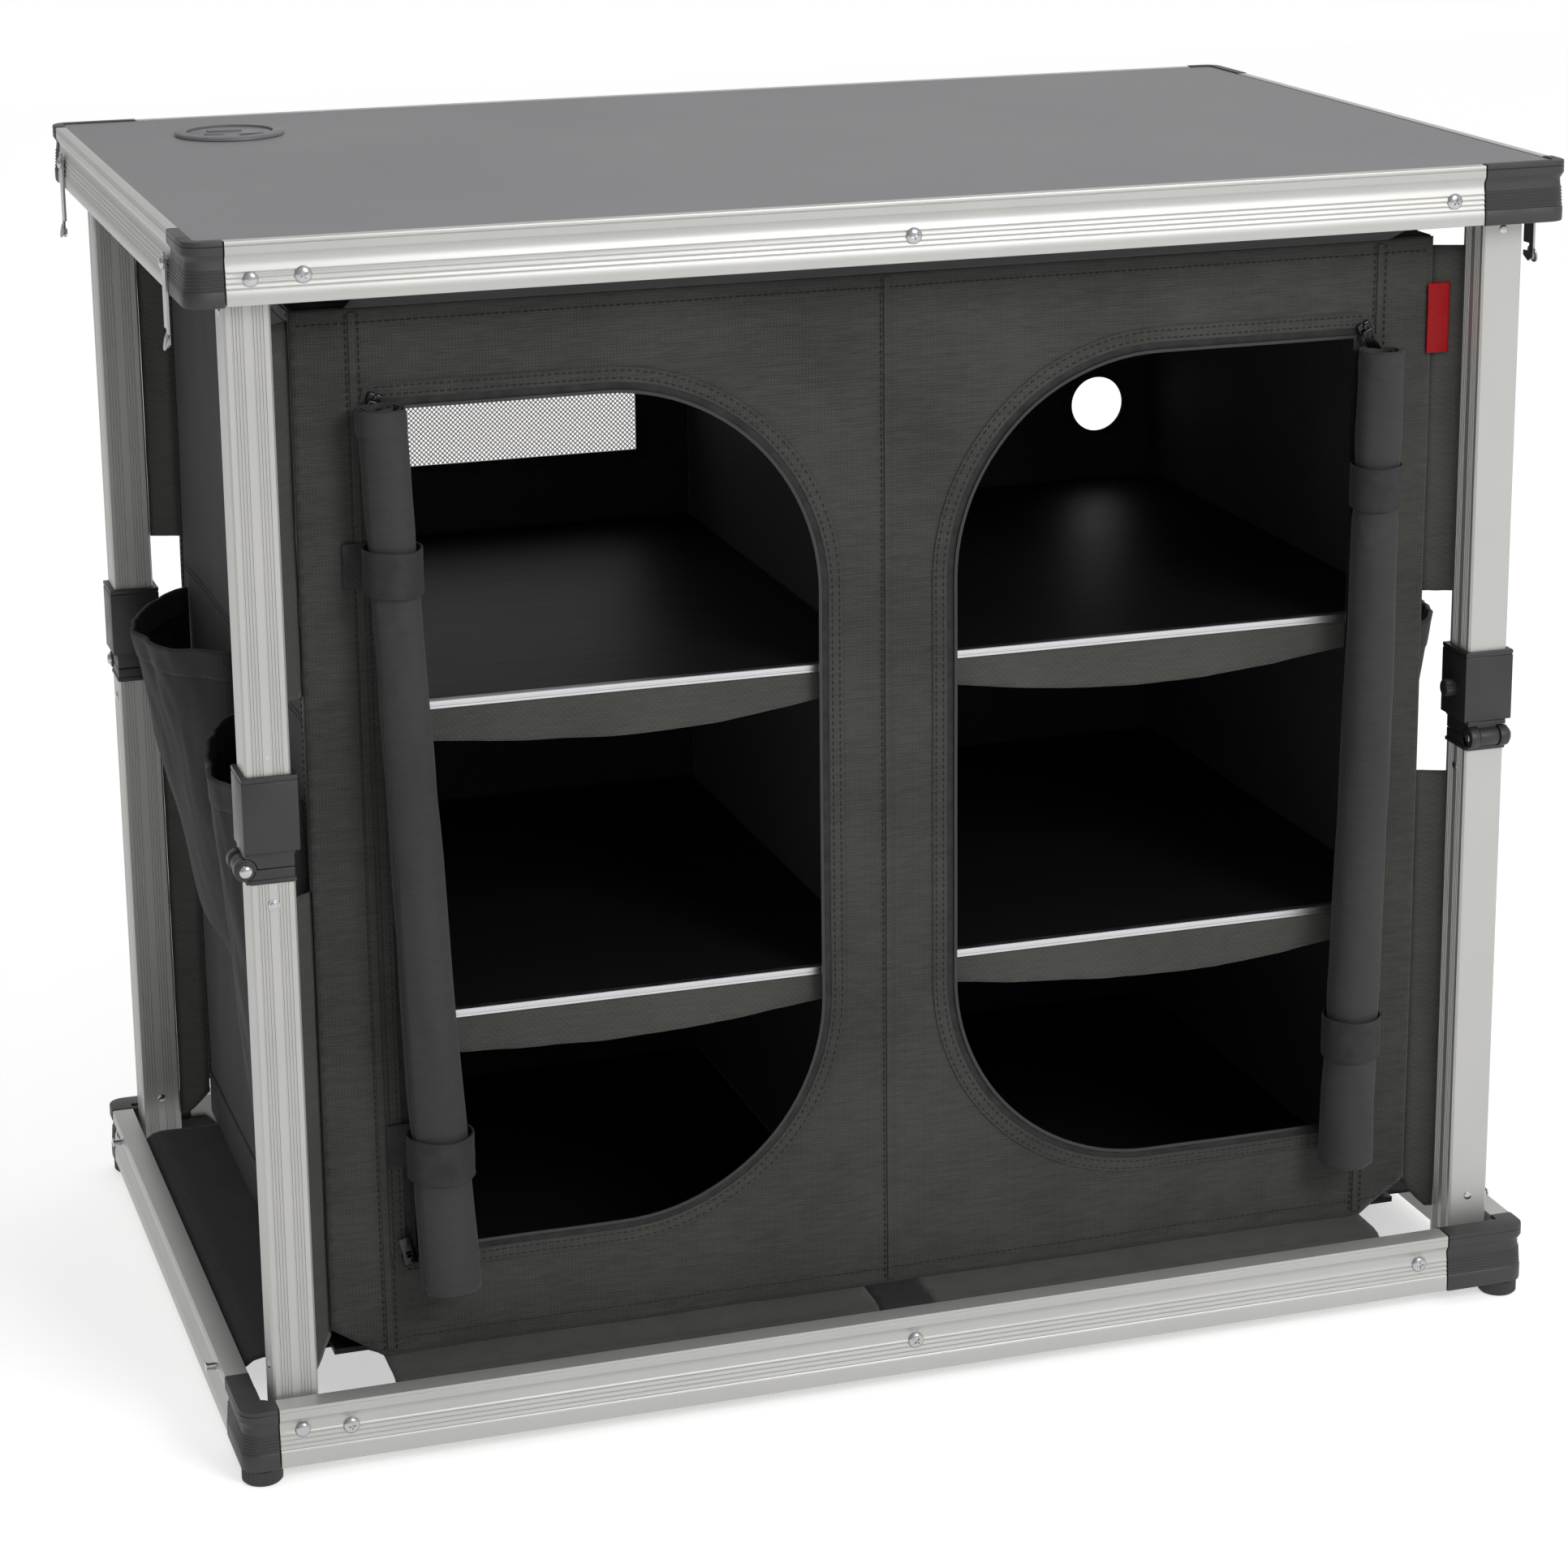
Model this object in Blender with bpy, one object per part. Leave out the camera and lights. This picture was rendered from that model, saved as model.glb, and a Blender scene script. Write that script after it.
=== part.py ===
# Folding camping cupboard: an aluminium frame on four knee-jointed legs round a fabric cabinet.
# Metres, +Z up, +X to the right, +Y to the back. The origin is on the ground, under the middle.
import math

import bmesh
import bpy
from mathutils import Matrix, Vector

# Overall size
WIDTH = 0.952
DEPTH = 0.596
HEIGHT = 0.840
GAP = 0.0003  # between pieces that touch

# Rails of the two frames: d runs inwards from the outer face
RAIL_THICK = 0.016
TOP_RAIL_HIGH = 0.041
BASE_RAIL_HIGH = 0.043
RAIL_WALL = 0.0015
RAIL_EDGE = 0.0012
BULGE_HIGH = 0.009
BAND_DEPTH = 0.0015
LIP_WIDE = 0.0075

# Table board, let into the top frame
PANEL_THICK = 0.0085
PANEL_SINK = 0.0005
GROMMET_SIDE = 0.116  # from the frame's left face
GROMMET_BACK = 0.108
GROMMET_RADIUS = 0.040
GROMMET_RIM = 0.0085
GROMMET_HIGH = 0.003
GROMMET_WALL = 0.002
LID_THICK = 0.003
LID_SLOT = (0.0045, 0.0235)
LID_SLOT_DEEP = 0.0205

# Plastic corner caps: one short and one long arm each, turned a quarter from corner to corner
CAP_SHORT = 0.025
CAP_LONG = 0.063
CAP_ROUND = 0.012
TONGUE_SHORT = 0.011
TONGUE_LONG = 0.030
POST_REACH = 0.0225
HEEL_LONG = 0.090
HEEL_HIGH = 0.026

# Levelling feet
FOOT_RADIUS = 0.014
FOOT_HIGH = 0.012
FOOT_INSET = 0.0145
FOOT_LOBES = 20
FOOT_KNURL = 0.0006
STUD_RADIUS = 0.004
STUD_LONG = 0.018

# Legs, in a corner's own axes: x along the rail they fold against, y inwards
LEG_WIDE = 0.030
LEG_WALL = 0.0015
LEG_CHAMFER = 0.0012
LEG_ALONG = 0.041
LEG_SPACE = 0.004
BASE_PIVOT_Z = 0.038
PIN_RADIUS = 0.003
PIN_PLAY = 0.0004
PIN_HEAD_RADIUS = 0.0055
PIN_HEAD_HIGH = 0.0025
SPACER_RADIUS = 0.007

# Knee hinge
BARREL_OUT = 0.0025
BARREL_RADIUS = 0.0075
MIDDLE_RADIUS = 0.0064
KNUCKLE_WIDE = 0.007
KNUCKLE_PLAY = 0.0005
KNEE_PIN_RADIUS = 0.002
KNEE_HEAD_RADIUS = 0.0045
KNEE_HEAD_HIGH = 0.003
KNEE_HEAD_EDGE = 0.0012
KNEE_RIVET_RADIUS = 0.003
KNEE_RIVET_HIGH = 0.001
BLOCK_LOWER = 0.010
BLOCK_UPPER = 0.0115
SPIGOT_LONG = 0.025
SPIGOT_FIT = 0.0004

# Locking sleeve on the upper leg and its spring button
SLEEVE_WALL = 0.0032
SLEEVE_FIT = 0.0003
SLEEVE_HIGH = 0.051
BUTTON_RADIUS = 0.0065
BUTTON_HIGH = 0.008
BUTTON_STEM = 0.0035
BUTTON_UP = 0.022

# Transport hooks, their rivets and their catch pins
SCREW_RADIUS = 0.0042
SCREW_HIGH = 0.0022
SHANK_RADIUS = 0.002
HOOK_PLATE = 0.0015
HOOK_NEAR = 0.055
HOOK_FAR = 0.072
HOOK_DROP = 0.0225
HOOK_HALF = 0.007
HOOK_TIP = 0.007
HOOK_BACK = 0.0014  # of the notch, past the pin's middle
CATCH_SHIFT = 0.022
CATCH_DROP = 0.006
CATCH_RADIUS = 0.0025
CATCH_OUT = 0.008
CATCH_FLANGE = 0.001

# Fabric cabinet: rooms are measured inwards from the frame's outer faces
CLOTH = 0.0015
BOX_SIDE_ROOM = 0.073
BOX_FRONT_ROOM = 0.055
BOX_LOW = 0.056
BOX_DROP = 0.055
PANEL_CLOTH = 0.0012
DOOR_INNER_X = 0.042
DOOR_SIDE = 0.053
DOOR_SILL = 0.070
DOOR_HEAD = 0.061
DOOR_ROUND = 0.155
WINDOW_SIDE = 0.043
WINDOW_INNER_X = 0.041
WINDOW_HIGH = 0.172
WINDOW_HEAD = 0.045
CABLE_HOLE_SIDE = 0.053
CABLE_HOLE_DROP = 0.209
CABLE_HOLE_RADIUS = 0.0225

# Shelf boards: heights of their top faces
BOARD_THICK = 0.004
BOARD_SIDE_PLAY = 0.002
BOARD_FRONT = 0.011
BOARD_BACK_PLAY = 0.010
SHELF_Z = {"upper": 0.515, "lower": 0.297}
SLING_CLOTH = 0.001
VALANCE_SAG = 0.030
VALANCE_SIDE = 0.012

# Rolled doors: (inside the opening's edge, below its top or sill, radius) at each roll's two ends
ROLL_LEFT = ((0.000, 0.002, 0.018), (0.026, 0.012, 0.0225))
ROLL_RIGHT = ((-0.006, 0.014, 0.0165), (0.007, 0.016, 0.021))
ROLL_SIDES = 12
STRAP_DROP = 0.109
STRAP_RISE = 0.084
STRAP_WIDE = 0.030
STRAP_THICK = 0.0012
STRAP_END = 0.010

# Organiser pockets on both side walls, as (bulge, bottom z, rim z)
POCKET_CLOTH = 0.0012
POCKET_SPLIT = 0.008
POCKET_NEAR = 0.011  # from the wall's edge
POCKET_FAR = 0.029
LONG_POCKET = (0.050, 0.100, 0.455)
SHORT_POCKET = (0.058, 0.242, 0.494)
POCKET_FOOT = 0.35  # of the bulge, at the bottom
POCKET_FULL = 0.6  # below 1 is squarer than a half wave

# Strips that tie the cabinet to the legs and to the frames
WEB_CLOTH = 0.001
WEB_LAP = 0.004
WEB_BEHIND = 0.0055
WEB_KNEE_ABOVE = 0.102
WEB_KNEE_BELOW = 0.032
WEB_TOP_DROP = 0.008
WEB_LOW_RISE = 0.006
FLAP_END = 0.120
FLAP_SIDE_END = 0.083
FLAP_SPLIT = 0.020
FLAP_LAP = 0.006

# How far the frame folds
FOLD_DEG = 89

# Worked out from the sizes above
HALF_W = WIDTH / 2
HALF_D = DEPTH / 2
TOP_RAIL_Z = HEIGHT - TOP_RAIL_HIGH
REBATE = PANEL_SINK + PANEL_THICK + GAP
PANEL_LOW = HEIGHT - PANEL_SINK - PANEL_THICK
BASE_Z = FOOT_HIGH
BASE_TOP = BASE_Z + BASE_RAIL_HIGH
LEG_HALF = LEG_WIDE / 2
LEG_INSET = RAIL_THICK + LEG_SPACE + LEG_HALF
TOP_PIVOT_Z = PANEL_LOW - LEG_HALF - 2 * GAP
KNEE_Z = (BASE_PIVOT_Z + TOP_PIVOT_Z) / 2
BARREL_X = LEG_ALONG - LEG_HALF - BARREL_OUT
SLEEVE_Z = KNEE_Z + BLOCK_UPPER + GAP
SLEEVE_HALF = LEG_HALF + SLEEVE_FIT + SLEEVE_WALL
GROMMET_X = GROMMET_SIDE - HALF_W
GROMMET_Y = HALF_D - GROMMET_BACK
BOX_HALF_X = HALF_W - BOX_SIDE_ROOM
BOX_HALF_Y = HALF_D - BOX_FRONT_ROOM
BOX_TOP = HEIGHT - BOX_DROP
FRONT_Y = -BOX_HALF_Y
FLOOR_Z = BOX_LOW + CLOTH + GAP + BOARD_THICK
DOOR_OUTER_X = BOX_HALF_X - DOOR_SIDE
DOOR_LOW = BOX_LOW + DOOR_SILL
DOOR_TOP = BOX_TOP - DOOR_HEAD
STRAP_Z = (DOOR_TOP - STRAP_DROP, DOOR_LOW + STRAP_RISE)
WINDOW_X = (WINDOW_SIDE - BOX_HALF_X, -WINDOW_INNER_X)
WINDOW_Z = (BOX_TOP - WINDOW_HEAD - WINDOW_HIGH, BOX_TOP - WINDOW_HEAD)
CABLE_HOLE_X = BOX_HALF_X - CABLE_HOLE_SIDE
CABLE_HOLE_Z = BOX_TOP - CABLE_HOLE_DROP
WEB_UPPER = (KNEE_Z + WEB_KNEE_ABOVE, BOX_TOP - WEB_TOP_DROP)
WEB_LOWER = (BOX_LOW + WEB_LOW_RISE, KNEE_Z - WEB_KNEE_BELOW)
FOLD = math.radians(FOLD_DEG)
KNEE_OUT = LEG_ALONG - BARREL_X
FOLDED_RISE = 2 * ((KNEE_Z - BASE_PIVOT_Z) * math.cos(FOLD) + KNEE_OUT * math.sin(FOLD))
HOOK_Z = HEIGHT - HOOK_DROP
CATCH_Z = BASE_TOP - CATCH_DROP
FOLDED_HOOK_Z = HOOK_Z - (TOP_PIVOT_Z - BASE_PIVOT_Z) + FOLDED_RISE
HOOK_REACH = math.hypot(CATCH_SHIFT, FOLDED_HOOK_Z - CATCH_Z)
HOOK_PLACES = (HOOK_NEAR, DEPTH - HOOK_FAR)
CATCH_PLACES = (HOOK_PLACES[0] + CATCH_SHIFT, HOOK_PLACES[1] - CATCH_SHIFT)

CORNERS = {
    "fl": (-HALF_W, -HALF_D, 0, WIDTH),
    "fr": (HALF_W, -HALF_D, 90, DEPTH),
    "br": (HALF_W, HALF_D, 180, WIDTH),
    "bl": (-HALF_W, HALF_D, 270, DEPTH),
}
RAIL_NAMES = {"fl": "front", "fr": "right", "br": "back", "bl": "left"}

ALUMINIUM = ((0.62, 0.62, 0.60), 0.38, 1.0)
STEEL = ((0.60, 0.61, 0.62), 0.25, 1.0)
PLASTIC = ((0.028, 0.028, 0.029), 0.5, 0.0)
LAMINATE = ((0.235, 0.24, 0.255), 0.35, 0.0)
BOARD = ((0.012, 0.012, 0.013), 0.4, 0.0)
FABRIC = ((0.045, 0.045, 0.042), 0.9, 0.0)
LINING = ((0.015, 0.015, 0.015), 0.9, 0.0)


def clear_scene():
    for item in list(bpy.data.objects):
        bpy.data.objects.remove(item)


def corner_matrix(corner):
    x, y, degrees, _ = CORNERS[corner]
    return Matrix.Translation((x, y, 0)) @ Matrix.Rotation(math.radians(degrees), 4, "Z")


def finish(name, kind):
    colour, roughness, metallic = kind
    made = bpy.data.materials.new(name + "_finish")
    made.use_nodes = True
    shader = made.node_tree.nodes["Principled BSDF"]
    shader.inputs["Base Color"].default_value = (*colour, 1)
    shader.inputs["Roughness"].default_value = roughness
    shader.inputs["Metallic"].default_value = metallic
    return made


def to_object(bm, name="shape"):
    bmesh.ops.remove_doubles(bm, verts=bm.verts, dist=1e-6)
    bmesh.ops.dissolve_degenerate(bm, edges=bm.edges, dist=1e-6)
    bmesh.ops.recalc_face_normals(bm, faces=bm.faces)
    mesh = bpy.data.meshes.new(name)
    bm.to_mesh(mesh)
    bm.free()
    made = bpy.data.objects.new(name, mesh)
    bpy.context.scene.collection.objects.link(made)
    return made


def prism(outline, low, high, axis="Z"):
    """A closed outline carried straight along an axis, from low to high.
    The outline is (x, y) for Z, (x, z) for Y and (y, z) for X."""
    place = {
        "Z": lambda u, v, w: (u, v, w),
        "Y": lambda u, v, w: (u, w, v),
        "X": lambda u, v, w: (w, u, v),
    }[axis]
    bm = bmesh.new()
    face = bm.faces.new([bm.verts.new(place(u, v, low)) for u, v in outline])
    grown = bmesh.ops.extrude_face_region(bm, geom=[face])
    moved = [item for item in grown["geom"] if isinstance(item, bmesh.types.BMVert)]
    bmesh.ops.translate(bm, verts=moved, vec=Vector(place(0, 0, high - low)))
    return to_object(bm)


def block(x0, x1, y0, y1, z0, z1):
    return prism([(x0, y0), (x1, y0), (x1, y1), (x0, y1)], z0, z1)


def circle(u, v, radius, sides):
    turn = math.tau / sides
    return [(u + radius * math.cos(turn * i), v + radius * math.sin(turn * i)) for i in range(sides)]


def disc(u, v, radius, low, high, axis="Z", sides=12):
    return prism(circle(u, v, radius, sides), low, high, axis)


def arc(u, v, radius, start, end, steps):
    angles = [math.radians(start + (end - start) * i / steps) for i in range(steps + 1)]
    return [(u + radius * math.cos(a), v + radius * math.sin(a)) for a in angles]


def loft(sections):
    """A closed solid through sections that have the same number of points."""
    bm = bmesh.new()
    rings = [[bm.verts.new(point) for point in section] for section in sections]
    count = len(sections[0])
    for lower, upper in zip(rings, rings[1:]):
        for i in range(count):
            j = (i + 1) % count
            bm.faces.new([lower[i], lower[j], upper[j], upper[i]])
    bm.faces.new(list(reversed(rings[0])))
    bm.faces.new(rings[-1])
    bmesh.ops.triangulate(bm, faces=bm.faces)
    return to_object(bm)


def boolean(base, operation, tools):
    """Joins solids to the base or cuts them from it, and keeps only the result."""
    for tool in tools:
        step = base.modifiers.new(operation, "BOOLEAN")
        step.operation = operation
        step.solver = "EXACT"
        step.object = tool
        bpy.context.view_layer.update()
        seen = base.evaluated_get(bpy.context.evaluated_depsgraph_get())
        shaped = bpy.data.meshes.new_from_object(seen)
        base.modifiers.clear()
        base.data = shaped
        bpy.data.objects.remove(tool)
    return base


def unite(base, *tools):
    return boolean(base, "UNION", tools)


def cut(base, *tools):
    return boolean(base, "DIFFERENCE", tools)


def copies(shape, corners):
    """A solid in a corner's own axes, repeated at each corner."""
    made = []
    for corner in corners:
        copy = shape.copy()
        copy.data = shape.data.copy()
        copy.data.transform(corner_matrix(corner))
        bpy.context.scene.collection.objects.link(copy)
        made.append(copy)
    bpy.data.objects.remove(shape)
    return made


def piece(name, shape, kind, carrier=None, smooth=False):
    """Names a finished solid, gives it its finish and hangs it on the joint that carries it."""
    shape.name = name
    shape.data.name = name
    shape.data.materials.clear()
    shape.data.materials.append(finish(name, kind))
    if smooth:
        shape.data.shade_smooth()
        shape.data.set_sharp_from_angle(angle=math.radians(35))
    if carrier:
        shape.parent = carrier
        shape.matrix_parent_inverse = carrier.matrix_world.inverted()
    return shape


def at_corner(name, shape, corner, kind, carrier, smooth=False):
    """One corner's copy of a shape that the four corners share."""
    copy = shape.copy()
    copy.data = shape.data.copy()
    copy.data.transform(corner_matrix(corner))
    bpy.context.scene.collection.objects.link(copy)
    return piece(name, copy, kind, carrier, smooth)


def joint(name, place, carrier=None):
    """An empty on a joint's axis."""
    made = bpy.data.objects.new(name, None)
    made.empty_display_size = 0.02
    made.location = place
    bpy.context.scene.collection.objects.link(made)
    bpy.context.view_layer.update()
    if carrier:
        made.parent = carrier
        made.matrix_parent_inverse = carrier.matrix_world.inverted()
        bpy.context.view_layer.update()
    return made


def rail_outline(high, rebate):
    """The rail's section as (d, z): a sunk band between two bulges, and the board's rebate."""
    band_low = BULGE_HIGH + BAND_DEPTH
    band_high = high - BULGE_HIGH - BAND_DEPTH
    points = [
        (RAIL_EDGE, 0),
        (0, RAIL_EDGE),
        (0, BULGE_HIGH),
        (BAND_DEPTH, band_low),
        (BAND_DEPTH, band_high),
        (0, high - BULGE_HIGH),
        (0, high - RAIL_EDGE),
        (RAIL_EDGE, high),
    ]
    if rebate:
        points += [(LIP_WIDE, high), (LIP_WIDE, high - rebate)]
    points += [(RAIL_THICK, high - rebate), (RAIL_THICK, 0)]
    return points


def hollow(high, rebate, clearance=0):
    """The rail's inside, as low and high d and z."""
    return (
        BAND_DEPTH + RAIL_WALL + clearance,
        RAIL_THICK - RAIL_WALL - clearance,
        RAIL_WALL + clearance,
        high - rebate - RAIL_WALL - clearance,
    )


def rail(length, low, high, rebate, pivot_z, posts):
    """A rail in its corner's axes, bored for the leg's pin, with its riveted posts."""
    section = [(d, low + z) for d, z in rail_outline(high, rebate)]
    start = CAP_SHORT + GAP
    end = length - CAP_LONG - GAP
    bar = prism(section, start, end, "X")
    d0, d1, z0, z1 = hollow(high, rebate)
    room = block(start - GAP, end + GAP, d0, d1, low + z0, low + z1)
    bore = disc(LEG_ALONG, pivot_z, PIN_RADIUS + PIN_PLAY, -GAP, RAIL_THICK + GAP, "Y", 10)
    return unite(cut(bar, room, bore), *posts)


def cap_shell(low, high, rebate):
    """The rail's section carried round the corner, long along y and short along x."""
    stations = 6
    sections = []
    for d, z in rail_outline(high, rebate):
        bend = max(CAP_ROUND, d)
        turned = arc(bend, bend, bend - d, 270, 180, stations)
        path = [(CAP_SHORT, d), *turned, (d, CAP_LONG)]
        sections.append([(x, y, low + z) for x, y in path])
    return loft([list(ring) for ring in zip(*sections)])


def corner_cap(low, high, rebate, is_base):
    """Shell, the two tongues inside the rails, the corner post and, at the base, the heel block."""
    cap = cap_shell(low, high, rebate)
    d0, d1, z0, z1 = hollow(high, rebate, GAP)
    grip = CAP_SHORT / 2
    inner = [
        block(grip, CAP_SHORT + TONGUE_SHORT, d0, d1, low + z0, low + z1),
        block(d0, d1, CAP_LONG - grip, CAP_LONG + TONGUE_LONG, low + z0, low + z1),
        block(RAIL_THICK - GAP, POST_REACH, BAND_DEPTH * 2, POST_REACH, low, low + z1),
    ]
    if is_base:
        inner.append(block(RAIL_THICK + GAP, POST_REACH, RAIL_THICK, HEEL_LONG, low, low + HEEL_HIGH))
    cap = unite(cap, *inner)
    if is_base:
        bore = STUD_RADIUS + PIN_PLAY
        cap = cut(cap, disc(FOOT_INSET, FOOT_INSET, bore, low - GAP, low + STUD_LONG + GAP, "Z", 12))
    return cap


def pivot_pin(height):
    """The bolt that a leg turns on: head outside the rail, spacer, shaft and riveted end."""
    leg_face = LEG_INSET - LEG_HALF
    far = LEG_INSET + LEG_HALF
    outer = BAND_DEPTH - GAP
    shaft = disc(LEG_ALONG, height, PIN_RADIUS, outer - GAP, far + PIN_HEAD_HIGH, "Y", 10)
    levels = (
        (outer, PIN_HEAD_RADIUS),
        (outer - GAP, PIN_HEAD_RADIUS),
        (outer - PIN_HEAD_HIGH, PIN_HEAD_RADIUS / 2),
    )
    head = loft([[(x, y, z) for x, z in circle(LEG_ALONG, height, r, 12)] for y, r in levels])
    spacer = disc(LEG_ALONG, height, SPACER_RADIUS, RAIL_THICK + GAP, leg_face + GAP, "Y", 12)
    rivet = disc(LEG_ALONG, height, PIN_HEAD_RADIUS, far - GAP, far + PIN_HEAD_HIGH, "Y", 10)
    return unite(shaft, head, spacer, rivet)


def leg_tube(z0, z1, pivot_z, is_upper):
    """A square tube with a round end about its pivot, and the pin that is riveted in it."""
    near_x, far_x = LEG_ALONG - LEG_HALF, LEG_ALONG + LEG_HALF
    near_y, far_y = LEG_INSET - LEG_HALF, LEG_INSET + LEG_HALF
    c = LEG_CHAMFER
    outline = [
        (near_x + c, near_y),
        (far_x - c, near_y),
        (far_x, near_y + c),
        (far_x, far_y - c),
        (far_x - c, far_y),
        (near_x + c, far_y),
        (near_x, far_y - c),
        (near_x, near_y + c),
    ]
    if is_upper:
        profile = [*arc(LEG_ALONG, pivot_z, LEG_HALF, 0, 180, 10), (near_x, z0), (far_x, z0)]
    else:
        profile = [*arc(LEG_ALONG, pivot_z, LEG_HALF, 180, 360, 10), (far_x, z1), (near_x, z1)]
    tube = prism(profile, near_y, far_y, "Y")
    corners = prism(outline, z0 - LEG_WIDE, z1 + LEG_WIDE)
    tube = boolean(tube, "INTERSECT", [corners])
    wall = LEG_WALL
    sides = (near_x + wall, far_x - wall, near_y + wall, far_y - wall)
    room = block(*sides, z0 - LEG_WIDE, z1 + LEG_WIDE)
    return unite(cut(tube, room), pivot_pin(pivot_z))


def knee_half(is_upper):
    """One plastic half of the knee: block, spigot and knuckles. The lower half holds the pin."""
    near_y, far_y = LEG_INSET - LEG_HALF, LEG_INSET + LEG_HALF
    sign = 1 if is_upper else -1
    face = KNEE_Z + sign * GAP / 2
    edge = KNEE_Z + sign * (BLOCK_UPPER if is_upper else BLOCK_LOWER)
    inner = LEG_HALF - LEG_WALL - SPIGOT_FIT
    tip = edge + sign * SPIGOT_LONG
    half = block(BARREL_X, LEG_ALONG + LEG_HALF, near_y, far_y, min(face, edge), max(face, edge))
    spigot = block(
        LEG_ALONG - inner,
        LEG_ALONG + inner,
        LEG_INSET - inner,
        LEG_INSET + inner,
        min(edge, tip) - (GAP if is_upper else 0),
        max(edge, tip) + (0 if is_upper else GAP),
    )
    side = KNUCKLE_WIDE
    ends = [(near_y, near_y + side), (far_y - side, far_y)]
    middle = [(near_y + side + KNUCKLE_PLAY, far_y - side - KNUCKLE_PLAY)]
    own, own_radius = (middle, MIDDLE_RADIUS) if is_upper else (ends, BARREL_RADIUS)
    other, other_radius = (ends, BARREL_RADIUS) if is_upper else (middle, MIDDLE_RADIUS)
    half = unite(half, spigot)
    for low, high in other:
        low = low - GAP if low == near_y else low - KNUCKLE_PLAY
        high = high + GAP if high == far_y else high + KNUCKLE_PLAY
        half = cut(half, disc(BARREL_X, KNEE_Z, other_radius + KNUCKLE_PLAY, low, high, "Y", 20))
    for low, high in own:
        half = unite(half, disc(BARREL_X, KNEE_Z, own_radius, low, high, "Y", 20))
    if not is_upper:
        return unite(half, knee_pin())
    bore = disc(BARREL_X, KNEE_Z, KNEE_PIN_RADIUS + PIN_PLAY, near_y - GAP, far_y + GAP, "Y", 10)
    return cut(half, bore)


def knee_pin():
    """The hinge pin: a shaft through the knuckles with a domed head and a riveted end."""
    near_y, far_y = LEG_INSET - LEG_HALF, LEG_INSET + LEG_HALF
    shaft = disc(BARREL_X, KNEE_Z, KNEE_PIN_RADIUS, near_y - GAP, far_y + GAP, "Y", 10)
    levels = (
        (near_y + GAP, KNEE_HEAD_RADIUS),
        (near_y - KNEE_HEAD_EDGE, KNEE_HEAD_RADIUS),
        (near_y - KNEE_HEAD_HIGH, KNEE_HEAD_RADIUS / 2),
    )
    head = loft([[(x, y, z) for x, z in circle(BARREL_X, KNEE_Z, r, 12)] for y, r in levels])
    rivet = disc(BARREL_X, KNEE_Z, KNEE_RIVET_RADIUS, far_y - GAP, far_y + KNEE_RIVET_HIGH, "Y", 10)
    return unite(shaft, head, rivet)


def sleeve_shape():
    outer = SLEEVE_HALF
    inner = LEG_HALF + SLEEVE_FIT
    top = SLEEVE_Z + SLEEVE_HIGH
    x, y, c = LEG_ALONG, LEG_INSET, LEG_CHAMFER
    outline = [
        (x - outer + c, y - outer),
        (x + outer - c, y - outer),
        (x + outer, y - outer + c),
        (x + outer, y + outer - c),
        (x + outer - c, y + outer),
        (x - outer + c, y + outer),
        (x - outer, y + outer - c),
        (x - outer, y - outer + c),
    ]
    shell = prism(outline, SLEEVE_Z, top)
    room = block(x - inner, x + inner, y - inner, y + inner, SLEEVE_Z - GAP, top + GAP)
    hole = disc(x, SLEEVE_Z + BUTTON_UP, BUTTON_STEM + PIN_PLAY, y, y + outer + GAP, "Y", 10)
    return cut(shell, room, hole)


def button_shape():
    z = SLEEVE_Z + BUTTON_UP
    face = LEG_INSET + SLEEVE_HALF
    stem = disc(LEG_ALONG, z, BUTTON_STEM, face - SLEEVE_WALL, face + BUTTON_HIGH / 2, "Y", 10)
    head = disc(LEG_ALONG, z, BUTTON_RADIUS, face + GAP, face + BUTTON_HIGH, "Y", 12)
    return unite(stem, head)


def foot_shape():
    lobes = 2 * FOOT_LOBES
    turn = math.tau / lobes
    radii = [FOOT_RADIUS - (FOOT_KNURL if i % 2 else 0) for i in range(lobes)]
    outline = [
        (FOOT_INSET + r * math.cos(turn * i), FOOT_INSET + r * math.sin(turn * i))
        for i, r in enumerate(radii)
    ]
    pad = prism(outline, 0, FOOT_HIGH - GAP)
    stud = disc(FOOT_INSET, FOOT_INSET, STUD_RADIUS, FOOT_HIGH / 2, BASE_Z + STUD_LONG, "Z", 10)
    return unite(pad, stud)


def hook_shape(along, pin_side):
    """A flat hook that hangs from its post, with a notch that opens towards its catch pin."""
    slot, half, reach = CATCH_RADIUS + PIN_PLAY, HOOK_HALF, HOOK_REACH
    outline = [
        *arc(0, 0, half, 0, 180, 6),
        (-half, -reach - slot - HOOK_TIP / 2),
        (0, -reach - slot - HOOK_TIP),
        (half, -reach - slot - HOOK_TIP / 2),
        (half, -reach - slot),
        (-HOOK_BACK, -reach - slot),
        (-HOOK_BACK, -reach + slot),
        (half, -reach + slot),
    ]
    outline = [(along + pin_side * x, HOOK_Z + z) for x, z in outline]
    plate = prism(outline, -GAP - HOOK_PLATE, -GAP, "Y")
    return cut(plate, disc(along, HOOK_Z, SHANK_RADIUS + PIN_PLAY, -HOOK_TIP, HOOK_TIP, "Y", 10))


def hook_post(along):
    """The rivet that a transport hook swings on, in its rail's axes."""
    seat = -2 * GAP - HOOK_PLATE
    shank = disc(along, HOOK_Z, SHANK_RADIUS, seat - GAP, BAND_DEPTH + GAP, "Y", 10)
    head = disc(along, HOOK_Z, SCREW_RADIUS, seat - SCREW_HIGH, seat, "Y", 10)
    return unite(shank, head)


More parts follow.
